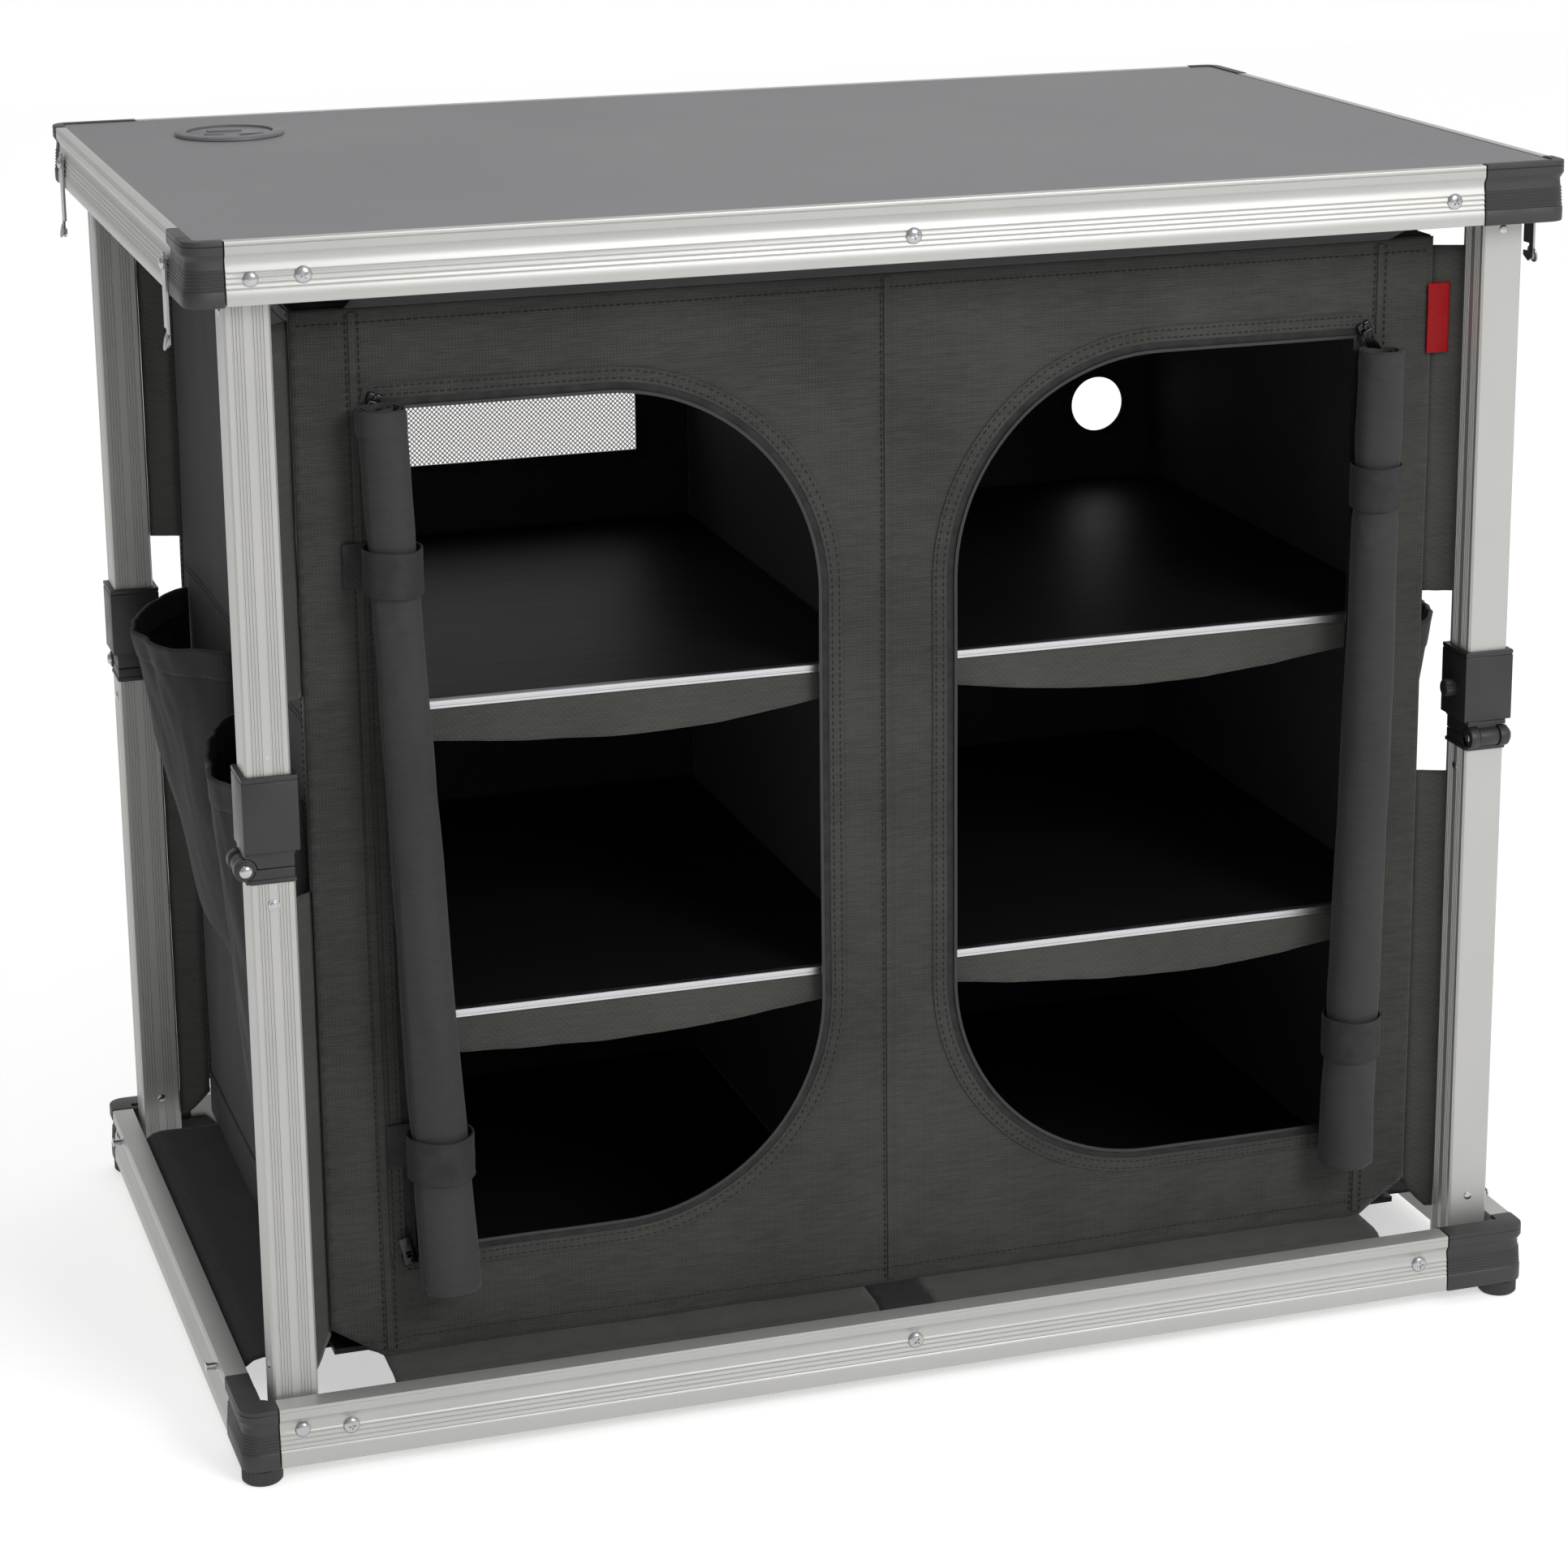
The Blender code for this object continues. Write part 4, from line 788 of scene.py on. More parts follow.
def makeGrommet():
    g = grommet
    x, y, seat = g["x"], g["y"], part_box("grommet_lid")[0].z
    ring = editAll(addRing([(x + r, y, g["face"] + z) for r, z in g["profile"]]),
                   (bpy.ops.mesh.spin, {"steps": 72, "angle": math.tau, "center": (x, y, 0), "axis": (0, 0, 1)}))
    finishPiece(smooth(outwards(ring), 40), "grommet_ring", "top_frame", "lidPlasticPaintedReflection", ("cable_grommet",))
    x0, x1, deep = g["slot"]
    edge = y - g["lidRadius"]
    lid = addRod((x, y, seat + 0.0015), g["lidRadius"], 0.003, "Z", 72, 0.0005)
    cutWith(lid, addBlock((x + x0, edge - 0.02, seat - 0.01), (x + x1, edge + deep, seat + 0.01), 0.002, 4))
    for (u0, u1), (v0, v1), top in g["grips"]:
        grip = addBlock((x + u0, y + v0, seat + 0.0024), (x + u1, y + v1, seat + top), 0.001, 3)
        lid = joined(lid, grip)
    finishPiece(smooth(lid, 40), "grommet_turning_lid", "grommet_lid", "lidPlasticPaintedReflection", ("grommet_lid",))


latches = {
    "places": (0.055, 2 * halfDepth - 0.072),
    "height": topOfRail - 0.0225,
    "catchShift": 0.022,
    "catchHeight": baseRailTop - 0.006,
    "catchOut": 0.008,
    "plate": 0.0015,
    "earRadius": 0.0062,
    "earLean": -14,  # degrees
    "earSide": 0.0030,
}


def makeLatches():
    t = latches
    high, out = t["catchHeight"], t["catchOut"]
    for corner, ends in (("fr", ("front", "back")), ("bl", ("back", "front"))):
        posts, pins = [], []
        for along, side, end in zip(t["places"], (1, -1), ends):
            posts += [addRod((along, -0.0003, t["height"]), 0.0020, 0.0058, "Y", 20),
                      addDome((along, 0.0002 - 2 * hair - t["plate"], t["height"]), 0.0042, 0.0024, "-Y")]
            spot = along + side * t["catchShift"]
            pins += [addRod((spot, (rails["deep"] - out) / 2, high), 0.0025, out + rails["deep"] - 0.0006, "Y", 24),
                     addRod((spot, 0.0006 - out, high), 0.0034, 0.0012, "Y", 28, 0.0003),
                     addRod((spot, 0.0004, high), 0.0040, 0.0016, "Y", 28, 0.0003)]
            name = f"{railNames[corner]}_{end}"
            low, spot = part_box(f"latch_hook_{name}")[0].z, along - side * t["earSide"]
            ear = addRod((spot, -0.0036, low + 0.0050), t["earRadius"], 0.0014, "Y", 32, 0.0004)
            ear.data.transform(Matrix.Translation((0, -0.001, low))
                               @ Matrix.Rotation(math.radians(t["earLean"]), 4, "X")
                               @ Matrix.Translation((0, 0.001, -low)))
            neck = addBlock((spot - 0.003, -0.0030, low + 0.002), (spot + 0.003, -0.0006, low + 0.0085), 0.0005)
            atCorners(smooth(joined(ear, neck), 40), f"hook_ear_{name}", f"hook_{name}", "steel", corners=(corner,))
            dress(f"latch_hook_{name}", "steel")
        for parts, level in ((posts, "top"), (pins, "base")):
            atCorners(joined(*parts), f"latch_pins_{level}_+", f"{level}_frame", "boltSteel", corners=(corner,))


cloth = {
    "halfX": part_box("front_panel")[1].x,
    "frontY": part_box("front_panel")[0].y,
    "backY": -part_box("front_panel")[0].y,
    "low": 0.056,
    "top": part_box("front_panel")[1].z + 0.002,
    "keep": 0.055,      # of its height that the cabinet keeps when the frame is folded
    "thick": 0.0012,
    "thin": 0.0010,      # lining
    "bed": 0.0009,       # slings and valances
    "step": 0.0085,      # between the threads of a wall's net
    "frontStep": 0.0062,
    "levelStep": 0.014,
    "bedStep": 0.016,
    "valanceStep": 0.005,
    "keepSmooth": 40,    # degrees
}


def wave(u, v, seed):
    return noise.noise(Vector((u, v, seed * 3.7)))


def rectangle(u0, v0, u1, v1):
    return [(u0, v0), (u1, v0), (u1, v1), (u0, v1)]


def dense(loop, step, closed=True):
    # the same path with a point at least every step
    made = []
    for start, end in zip(loop, loop[1:] + loop[:1] if closed else loop[1:]):
        a, b = Vector(start), Vector(end)
        parts = max(1, round((b - a).length / step))
        made += [tuple(a.lerp(b, k / parts)) for k in range(parts)]
    return made if closed else made + [tuple(loop[-1])]


def insideLoop(loop, u, v):
    inside = False
    for (u0, v0), (u1, v1) in zip(loop, loop[1:] + loop[:1]):
        if (v0 > v) != (v1 > v) and u < (u1 - u0) * (v - v0) / (v1 - v0) + u0:
            inside = not inside
    return inside


def loopArea(loop):
    return abs(sum(a[0] * b[1] - b[0] * a[1] for a, b in zip(loop, loop[1:] + loop[:1]))) / 2


def cutSheet(outline, holes, place, step=cloth["step"], thick=cloth["thick"], lined=False, turned=False):
    # threads run both ways, so the cut is filled with even triangles, then placed and thickened
    points, edges = [], []
    for loop in (outline, *holes):
        ring = dense(loop, step)
        first = len(points)
        points += [Vector(p) for p in ring]
        edges += [(first + i, first + (i + 1) % len(ring)) for i in range(len(ring))]
    rim = np.array([tuple(p) for p in points])
    lows, highs = rim.min(0), rim.max(0)
    rows = max(1, int((highs[1] - lows[1]) / step))
    for row in range(rows):
        v = lows[1] + (row + 0.5) * (highs[1] - lows[1]) / rows
        u = lows[0] + (0.5 if row % 2 else 1.0) * step
        while u < highs[0]:
            away = np.abs(rim - (u, v)).max(1).min()
            if away > step * 0.45 and insideLoop(outline, u, v) and not any(insideLoop(h, u, v) for h in holes):
                points.append(Vector((u, v)))
            u += step
    found = delaunay_2d_cdt(points, edges, [], 1, 1e-7)
    flat, faces = found[0], []
    for face in found[2]:
        u, v = (sum(flat[i][k] for i in face) / len(face) for k in (0, 1))
        if not any(insideLoop(h, u, v) for h in holes):
            faces.append(tuple(reversed(face)) if turned else tuple(face))
    sheet = meshFrom("sheet", [place(p.x, p.y) for p in flat], faces)
    sheet.data.materials.append(finishes["lining"])
    return thicken(sheet, thick, -1, material_offset=1 if lined else 0)


def hangCloth(obj, name, finish, area=None, replaced=(), lined=False,
              body="base_frame", anchor=cloth["low"]):
    finishPiece(obj, name, body, finish, replaced)
    if lined:
        obj.data.materials.append(finishes["lining"])
    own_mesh(obj)


front = {
    "doorInner": 0.042,
    "doorOuter": cloth["halfX"] - 0.053,
    "doorLow": cloth["low"] + 0.070,
    "doorTop": cloth["top"] - 0.061,
    "doorRound": 0.155,
    "seams": (-0.3625, 0.3625),
    "cornerCut": (0.036, 0.024),
    "tape": 0.008,
    "stitchRows": (0.0022, 0.0075),     # outside the doorway's edge
    "stitch": (0.0034, 0.0048, 0.00042),  # length, pitch, half width
}


def frontRipple(x, z):
    near = math.exp(-((z - cloth["low"]) / 0.07) ** 2)
    high = math.exp(-((cloth["top"] - z) / 0.05) ** 2)
    side = math.exp(-((abs(x) - 0.37) / 0.03) ** 2)
    soft = 0.0017 * wave(x * 6.5, z * 2.4, 1) + 0.0008 * wave(x * 19, z * 8, 2)
    pull = near * 0.0018 * wave(x * 16, z * 5, 3) + high * 0.0013 * wave(x * 34, z * 9, 4)
    return soft + pull + side * 0.0016 * wave(x * 50, z * 13, 5)


def frontY(x, z):
    return cloth["frontY"] + 0.0004 - max(-0.0022, min(0.0030, frontRipple(x, z)))


def doorway(side):
    f = front
    r, low, top, outer = f["doorRound"], f["doorLow"], f["doorTop"], f["doorOuter"]
    inner = f["doorInner"] + r
    path = [(outer, low), *arcPoints(inner, low + r, r, 270, 180, 24),
            *arcPoints(inner, top - r, r, 180, 90, 24), (outer, top)]
    return [(side * x, z) for x, z in path]


def bandOver(path, near, far, lift, surface, closed=True, thick=0.0006):
    # a flat band that follows a path on the cloth, between two distances to its left
    ring = dense(path, 0.006, closed)
    count, last = len(ring), len(ring) - 1

    def place(i, j):
        ahead = ring[(j + 1) % count] if closed or j < last else ring[j]
        behind = ring[j - 1] if closed or j else ring[j]
        run = Vector((ahead[0] - behind[0], ahead[1] - behind[1])).normalized()
        reach = far if i else near
        u, v = ring[j][0] - run.y * reach, ring[j][1] + run.x * reach
        return u, surface(u, v) - lift, v

    return thicken(gridSheet(1, count if closed else last, place, closed), thick, degrees=cloth["keepSmooth"])


def addThread(vertices, faces, start, end, y, half, tip=None):
    # a four-sided thread between two points, its ends flat or drawn out to a tip
    run = (end - start).normalized()
    side = Vector((-run.y, run.x)) * half
    a, around = len(vertices), ((0, 1), (1, 2), (2, 3), (3, 0))
    for p in (start, end):
        vertices += [(p.x - side.x, y, p.y - side.y), (p.x, y - half, p.y),
                     (p.x + side.x, y, p.y + side.y), (p.x, y + half, p.y)]
    faces += [(a + k, a + j, a + 4 + j, a + 4 + k) for k, j in around]
    if tip:
        vertices += [(p.x, y + half, p.y) for p in (start - tip, end + tip)]
        faces += [(a + 8, a + j, a + k) for k, j in around] + [(a + 9, a + 4 + k, a + 4 + j) for k, j in around]
    else:
        faces += [(a + 3, a + 2, a + 1, a), (a + 4, a + 5, a + 6, a + 7)]


def stitchesOver(path, reach, lift, surface, closed=True):
    # one small spindle for each stitch, laid along the seam
    long, pitch, half = front["stitch"]
    ring = dense(path, pitch, closed)
    vertices, faces = [], []
    for (x0, z0), (x1, z1) in zip(ring, ring[1:] + ring[:1] if closed else ring[1:]):
        run = Vector((x1 - x0, z1 - z0)).normalized()
        mid = Vector(((x0 + x1) / 2 - run.y * reach, (z0 + z1) / 2 + run.x * reach))
        addThread(vertices, faces, mid - run * long * 0.28, mid + run * long * 0.28, surface(mid.x, mid.y) - lift,
                  half, run * long * 0.22)
    return outwards(meshFrom("stitches", vertices, faces))


def makeFrontPanel():
    f, c = front, cloth
    low, top, x = c["low"] + 0.001, c["top"] - 0.001, c["halfX"]
    cutX, cutZ = f["cornerCut"]
    outline = [(-x + cutX, low), (x - cutX, low), (x, low + cutZ), (x, top), (-x, top), (-x, low + cutZ)]
    doors = [doorway(-1)[::-1], doorway(1)]
    panel = cutSheet(outline, doors, lambda u, v: (u, frontY(u, v), v), c["frontStep"], lined=True)
    area = loopArea(outline) - sum(loopArea(loop) for loop in doors)
    hangCloth(panel, "front_cloth", "frontCloth", area=area, replaced=("front_panel",), lined=True)

    bands, tapes, coils, threads = [], [], [], []
    for door in doors:
        path = door[::-1]
        bands.append(bandOver(path, -0.0098, 0.0004, 0.0008, frontY))
        tapes.append(bandOver(path, 0.0002, f["tape"] - 0.0012, 0.0002, frontY))
        coils.append(bandOver(path, f["tape"] - 0.0026, f["tape"] - 0.0004, 0.0012, frontY, thick=0.0016))
        threads += [stitchesOver(path, -reach, 0.0014, frontY) for reach in f["stitchRows"]]
    for seam in (*f["seams"], 0.0):
        line = [(seam, low + 0.004), (seam, top - 0.003)]
        bands.append(bandOver(line, -0.0020, 0.0022, 0.0007, frontY, False, 0.0008))
        for reach in (0.0042, -0.0042) if seam else (0.0042,):
            threads.append(stitchesOver(line, reach, 0.0010, frontY, False))
    hem = [(-x + 0.0215, low + 0.012), (x - 0.0215, low + 0.012)]
    brow = [(-x + 0.004, top - 0.010), (x - 0.004, top - 0.010)]
    threads += [stitchesOver(line, 0.0, 0.0008, frontY, False) for line in (hem, brow)]
    for pieces, name, finish in ((bands, "front_seam_bands", "frontCloth"), (tapes, "door_zip_tapes", "tape"),
                                 (coils, "door_zip_coils", "zipCoil"), (threads, "front_stitching", "stitch")):
        hangCloth(joined(*pieces), name, finish)


sliders = {
    "places": ((-0.3500, 0.7240, 20), (0.3500, 0.7235, -25), (-0.3475, 0.1275, 165), (0.3480, 0.1270, 190)),
    "body": (0.0050, 0.0085, 0.0032),
    "puller": (0.0042, 0.0170, 0.0014),
}


def makeSliders():
    wide, long, thick = sliders["body"]
    body = addBlock((-wide, -thick, -long / 2), (wide, 0, long / 2), 0.0012, 3)
    cutWith(body, addBlock((-0.0010, -thick - 0.01, -long), (0.0010, -thick * 0.55, long)))
    bridge = addBlock((-0.0012, -thick - 0.0016, -long * 0.30), (0.0012, -thick + 0.0004, long * 0.30), 0.0005)
    w, l, t = sliders["puller"]
    pull = addBlock((-w, -thick - 0.0016 - t, -l - long * 0.1), (w, -thick - 0.0016, -long * 0.1), 0.0006, 2)
    cutWith(pull, addBlock((-w * 0.5, -0.02, -l * 0.45), (w * 0.5, 0.02, -long * 0.30), 0.0004))
    slider = smooth(joined(body, bridge, pull), 40)
    made = [moved(slider, Matrix.Translation((x, cloth["frontY"] - 0.0012, z))
                  @ Matrix.Rotation(math.radians(turn), 4, "Y")) for x, z, turn in sliders["places"]]
    dropped(slider)
    hangCloth(joined(*made), "zip_sliders", "zipMetal")


boards = {
    "levels": {"upper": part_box("shelf_upper_left")[1].z, "lower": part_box("shelf_lower_left")[1].z},
    "thick": 0.004,
    "front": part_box("shelf_upper_left")[0].y,
    "trimHigh": 0.0052,
    "sag": 0.030,
    "sagSide": 0.012,
}


walls = {
    "windowX": (0.043 - cloth["halfX"], -0.041),
    "windowZ": (cloth["top"] - 0.217, cloth["top"] - 0.045),
    "cell": 0.0026,
    "thread": 0.00078,
    "netLap": 0.004,
    "hole": (cloth["halfX"] - 0.053, cloth["top"] - 0.209, 0.0225),
    "binding": 0.009,
}


def sewWall(name, across, upright, seams, surface, turn, side, *gaps):
    # tape round a wall's edges, and a stitched line where each sling and the divider are sewn in;
    # it is drawn as if the wall faced the front, then turned
    (u0, u1), (v0, v1) = sorted(side * u for u in across), upright
    edge = rectangle(u0, v0, u1, v1)
    tape = bandOver(edge, 0.0, walls["binding"], 0.0006, surface)
    rows = [stitchesOver(edge, walls["binding"] - 0.0015, 0.0012, surface)]
    lines = [[(u0 + 0.012, level - 0.006), (u1 - 0.012, level - 0.006)] for level in boards["levels"].values()]
    lines += [[(u, v0 + 0.012), (u, v1 - 0.012)] for u in seams]
    for line in lines:
        (ua, va), (ub, vb) = line
        if not any(va < max(v for _, v in gap) and vb > min(v for _, v in gap)
                   and ua < max(-u for u, _ in gap) and ub > min(-u for u, _ in gap) for gap in gaps):
            rows += [stitchesOver(line, reach, 0.0006, surface, False) for reach in (-0.002, 0.002)]
    for piece, kind, finish in ((tape, "tape", "tape"), (joined(*rows), "stitches", "stitch")):
        hangCloth(moved(piece, turn), f"{name}_{kind}", finish)
        dropped(piece)


def makeWalls():
    w, x, y0, y1 = walls, cloth["halfX"], cloth["frontY"] + 0.0020, cloth["backY"]
    low, top = cloth["low"], cloth["top"]
    inside = low + 0.0008
    for name, side in (("left", -1), ("right", 1)):
        outline = [(y0 + 0.046, inside), (y1, inside), (y1, top), (y0, top), (y0, low + 0.028)]

        def outer(u, v, side=side):
            bow = 0.0022 * wave(u * 7 + side, v * 3.2, 6) + 0.0009 * wave(u * 24, v * 10, 7 + side)
            return x - 0.0012 + max(-0.002, min(0.002, bow))

        sheet = cutSheet(outline, [], lambda u, v: (side * outer(u, v), u, v), lined=True, turned=side < 0)
        sewWall(f"side_seams_{name}", (y0 + 0.003, y1 - 0.001), (low + 0.030, top - 0.003), (),
                lambda u, v: -outer(side * u, v), Matrix.Rotation(side * math.pi / 2, 4, "Z"), side)
        hangCloth(sheet, f"side_wall_{name}", "sideClothPaintedShade", area=loopArea(outline),
                  replaced=("cabinet_shell",) if side < 0 else (), lined=True)

    window = rectangle(w["windowX"][0], w["windowZ"][0], w["windowX"][1], w["windowZ"][1])
    hx, hz, hr = w["hole"]
    hole = arcPoints(hx, hz, hr, 0, 360, 48)[:-1]

    def backY(u, v):
        return y1 - 0.0022 + 0.0016 * wave(u * 6, v * 4, 11) + 0.0006 * wave(u * 20, v * 12, 12)

    outline = rectangle(-x + 0.002, inside, x - 0.002, top - 0.001)
    back = cutSheet(outline, [window, hole], lambda u, v: (u, backY(u, v), v), lined=True, turned=True)
    hangCloth(back, "back_wall", "sideClothPaintedShade",
              area=loopArea(outline) - loopArea(window) - loopArea(hole), lined=True)
    sewWall("back_seams", (0.004 - x, x - 0.004), (low + 0.003, top - 0.004), (0.0,),
            lambda u, v: -backY(-u, v), Matrix.Rotation(math.pi, 4, "Z"), 1, window, hole)

    edge, far = x - 0.0015, y1 - 0.003
    floor = [(-x + 0.038, y0), (x - 0.038, y0), (edge, y0 + 0.046), (edge, far), (-edge, far), (-edge, y0 + 0.046)]
    for name, outline, z, sag in (("floor", floor, low + 0.0010, 0.0),
                                  ("roof", rectangle(-edge, y0, edge, far), top - 0.0004, 0.0006)):
        sheet = cutSheet(outline, [], lambda u, v: (u, v, z + sag * wave(u * 6, v * 6, 13)), cloth["levelStep"],
                         cloth["thin"])
        hangCloth(sheet, f"cabinet_{name}", "lining", area=loopArea(outline))
    lip = cloth["frontY"] + 0.003
    middle = rectangle(lip, low + 0.0065, y1 - 0.004, top - 0.002)
    divider = cutSheet(middle, [], lambda u, v: (0.0005 + 0.0003 * wave(u * 9, v * 5, 14), u, v), thick=cloth["thin"])
    hangCloth(divider, "middle_divider", "lining", area=loopArea(middle))
    makeNet(window)
    bindings = [bandOver(path[::-1], near, far, lift, lambda u, v: backY(u, v) - 0.0012)
                for path, near, far, lift in ((window, -0.0005, 0.0105, 0.0016), (hole, -0.0003, 0.0065, 0.0014))]
    hangCloth(joined(*bindings), "back_opening_binding", "tape")


def makeNet(window):
    # a diamond net: straight threads cross at half right angles, drawn a little coarse so that they show
    (x0, z0), (x1, z1), lap = window[0], window[2], walls["netLap"]
    x0, x1, z0, z1 = x0 - lap, x1 + lap, z0 - lap, z1 + lap
    vertices, faces = [], []
    for leansBack, y in ((False, cloth["backY"] - 0.0030), (True, cloth["backY"] - 0.0026)):
        start = x0 - (z1 - z0)
        while start < x1:
            left, right = max(start, x0), min(start + z1 - z0, x1)
            if right > left + 1e-6:
                ends = [Vector((x0 + x1 - u if leansBack else u, z0 + u - start)) for u in (left, right)]
                addThread(vertices, faces, *ends, y, walls["thread"] / 2)
            start += walls["cell"] * math.sqrt(2)
    hangCloth(outwards(meshFrom("net", vertices, faces)), "window_net", "netThread")


def trimSection(face, z):
    # a bright channel that clips over the board's front edge
    high = boards["trimHigh"]
    return [(face + d, z + h) for d, h in (
        (-0.0016, 0.0006 - high), (-0.0012, 0.0002 - high), (0, 0.0002 - high), (0, 0.0001), (0.0050, 0.0001),
        (0.0050, 0.0006), (-0.0012, 0.0007), (-0.0016, 0.0003), (-0.0016, -0.0016), (-0.0011, -0.0020),
        (-0.0011, -0.0028), (-0.0016, -0.0032))]


def makeBoards():
    # each board lies in a sling, whose valance hangs at the front
    b = boards
    x0, x1, y1 = 0.0012, cloth["halfX"] - 0.0018, cloth["backY"] - 0.004
    for level, z in b["levels"].items():
        trims, top, body = [], z - b["thick"] - 0.0006, f"shelf_{level}"
        for side, name in ((-1, "left"), (1, "right")):
            dress(f"shelf_{level}_{name}", "foil")
            u0, u1 = sorted((side * x0, side * x1))
            bed = cutSheet(rectangle(u0, b["front"], u1, y1), [],
                           lambda u, v: (u, v, top - 0.0002 - 0.0005 * abs(wave(u * 8, v * 8, 21))),
                           cloth["bedStep"], cloth["bed"])
            finishPiece(bed, f"sling_{level}_{name}", body, "lining")
            outline = []
            for share in (i / 24 for i in range(25)):
                sway = 0.10 * math.sin(share * 5.3 + side + z * 9)
                drop = b["sagSide"] + (b["sag"] - b["sagSide"]) * math.sin(math.pi * share) * (1 + sway)
                outline.append((u0 + (u1 - u0) * share, top - drop))
            outline += [(u1, top), (u0, top)]

            def placeFlap(u, v):
                curl = 0.0030 * wave(u * 26, z * 3, 22 + side) + 0.0012 * wave(u * 70, v * 20, 23)
                return u, b["front"] - 0.0004 - (top - v) / b["sag"] * (0.0028 + curl), v

            flap = cutSheet(outline, [], placeFlap, cloth["valanceStep"], cloth["bed"])
            hangCloth(flap, f"valance_{level}_{name}", "tieCloth",
                      loopArea(outline), body=body, anchor=top)
            low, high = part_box(f"shelf_{level}_{name}")
            trims.append(smooth(drawOut(trimSection(b["front"], z), low.x + 0.0006, high.x - 0.0006), 30))
        finishPiece(joined(*trims), f"board_edges_{level}", body, "edgeTrim")
    dress("floor_board", "foil")


ties = {
    "upper": (kneeZ + 0.102, cloth["top"] - 0.008),
    "lower": (cloth["low"] + 0.001, kneeZ - 0.032),
    "thick": 0.0010,
    "shortRoom": 0.083,
    "split": 0.020,
    "footCut": 0.0185,
    "sewnIn": 0.005,
    "floorStep": 0.007,
    "roofStep": 0.008,
}


def addStrip(start, end, low, high, seed, cornerCut):
    # an upright strip from one plan point to another, with a few soft waves down its length
    long = (end - start).length
    run = (end - start).normalized()
    normal = Vector((-run.y, run.x))
    rows, columns = max(4, int((high - low) / 0.008)), max(4, int(long / 0.006))

    def place(i, j):
        s = j / columns
        foot = low + cornerCut * max(0.0, s - 0.3) / 0.7
        z = foot + (high - foot) * i / rows
        bow = math.sin(math.pi * s) * 0.0022 * wave(z * 13, s * 1.5, seed) + 0.0006 * wave(z * 40, s * 6, seed + 1)
        p = start + run * long * s + normal * bow
        return p.x, p.y, z

    return thicken(gridSheet(rows, columns, place), ties["thick"])


def hangAt(corner, sheet, name, finish):
    hangCloth(moved(sheet, cornerPlace(corner)), name, finish)
    dropped(sheet)


def makeTies():
    # strips tie the cabinet to the legs, and flaps tie it to the rails of both frames
    t, edge = ties, railThick
    half, along, inset = legs["half"], legs["along"], legs["inset"]
    gapX, gapY = halfWidth - cloth["halfX"], halfDepth + cloth["frontY"]
    for number, (corner, (_, _, _, length)) in enumerate(cornerTurn.items()):
        rail, isLong = railNames[corner], corner in ("fl", "br")
        start, end = (along + half + 0.0006, inset + half - 0.004), (gapX, gapY + 0.0055)
        if not isLong:
            start, end = (along + half - 0.004, inset + half + 0.0006), (gapY + 0.0055, gapX)
        start, end = Vector(start), Vector(end)
        for level, seed, cut in (("upper", 31 + number * 2, 0.0), ("lower", 30 + number * 2, t["footCut"])):
            low, high = t[level]
            hangAt(corner, addStrip(start, end, low, high, seed, cut), f"leg_tie_{level}_{corner}", "tieCloth")

        reach = gapY if isLong else gapX
        # flaps on the short sides take the darker side cloth, whose darker tone is painted shade
        far, finish = reach + t["sewnIn"], "tieCloth" if isLong else "sideClothPaintedShade"
        room = gapX + front["cornerCut"][0] if isLong else t["shortRoom"]
        spans = [(room, length - room, rail, finish)]
        if corner == "fl":
            near, beyond = length / 2 - t["split"], length / 2 + t["split"]
            spans = [(room, near, "front_0", finish), (beyond, length - room, "front_1", finish),
                     (near + 0.0002, beyond - 0.0002, "front_strap", "webbing")]
        floor, rise, seam = cloth["low"] + 0.0008, topRailLow + 0.0008, cloth["top"] - 0.0006

        def placeLow(u, v):
            share = (v - edge) / (reach - edge)
            dip = math.sin(math.pi * min(1, share)) * (0.0016 + 0.0018 * wave(u * 18, v * 12, 50 + number))
            tuck = (floor - baseRailTop + 0.005) * max(0.0, 1 - (v - edge) / 0.014) ** 2
            return u, v, floor - min(0.0030, abs(dip)) * 0.3 - tuck

        def placeHigh(u, v):
            share = (v - edge) / (reach - edge)
            sag = 0.0016 * math.sin(math.pi * min(1, share)) * abs(wave(u * 14, v * 10, 60))
            return u, v, rise + (seam - rise) * min(1, share) - sag

        for a, b, name, dressed in spans:
            hangAt(corner, cutSheet(rectangle(a, edge, b, far), [], placeLow, t["floorStep"], t["thick"]),
                   f"floor_flap_{name}", dressed)
        hangAt(corner, cutSheet(rectangle(room, edge, length - room, far), [], placeHigh, t["roofStep"], t["thick"]),
               f"roof_flap_{rail}", "sideClothPaintedShade")


pockets = {
    "cloth": 0.0012,
    "long": (0.011 + cloth["frontY"], -0.008, 0.050, 0.100, 0.455),  # from, to, bulge, foot and rim
    "short": (0.008, cloth["backY"] - 0.029, 0.058, 0.242, 0.494),
    "foot": 0.14,
    "full": 0.6,
    "hem": 0.020,
}


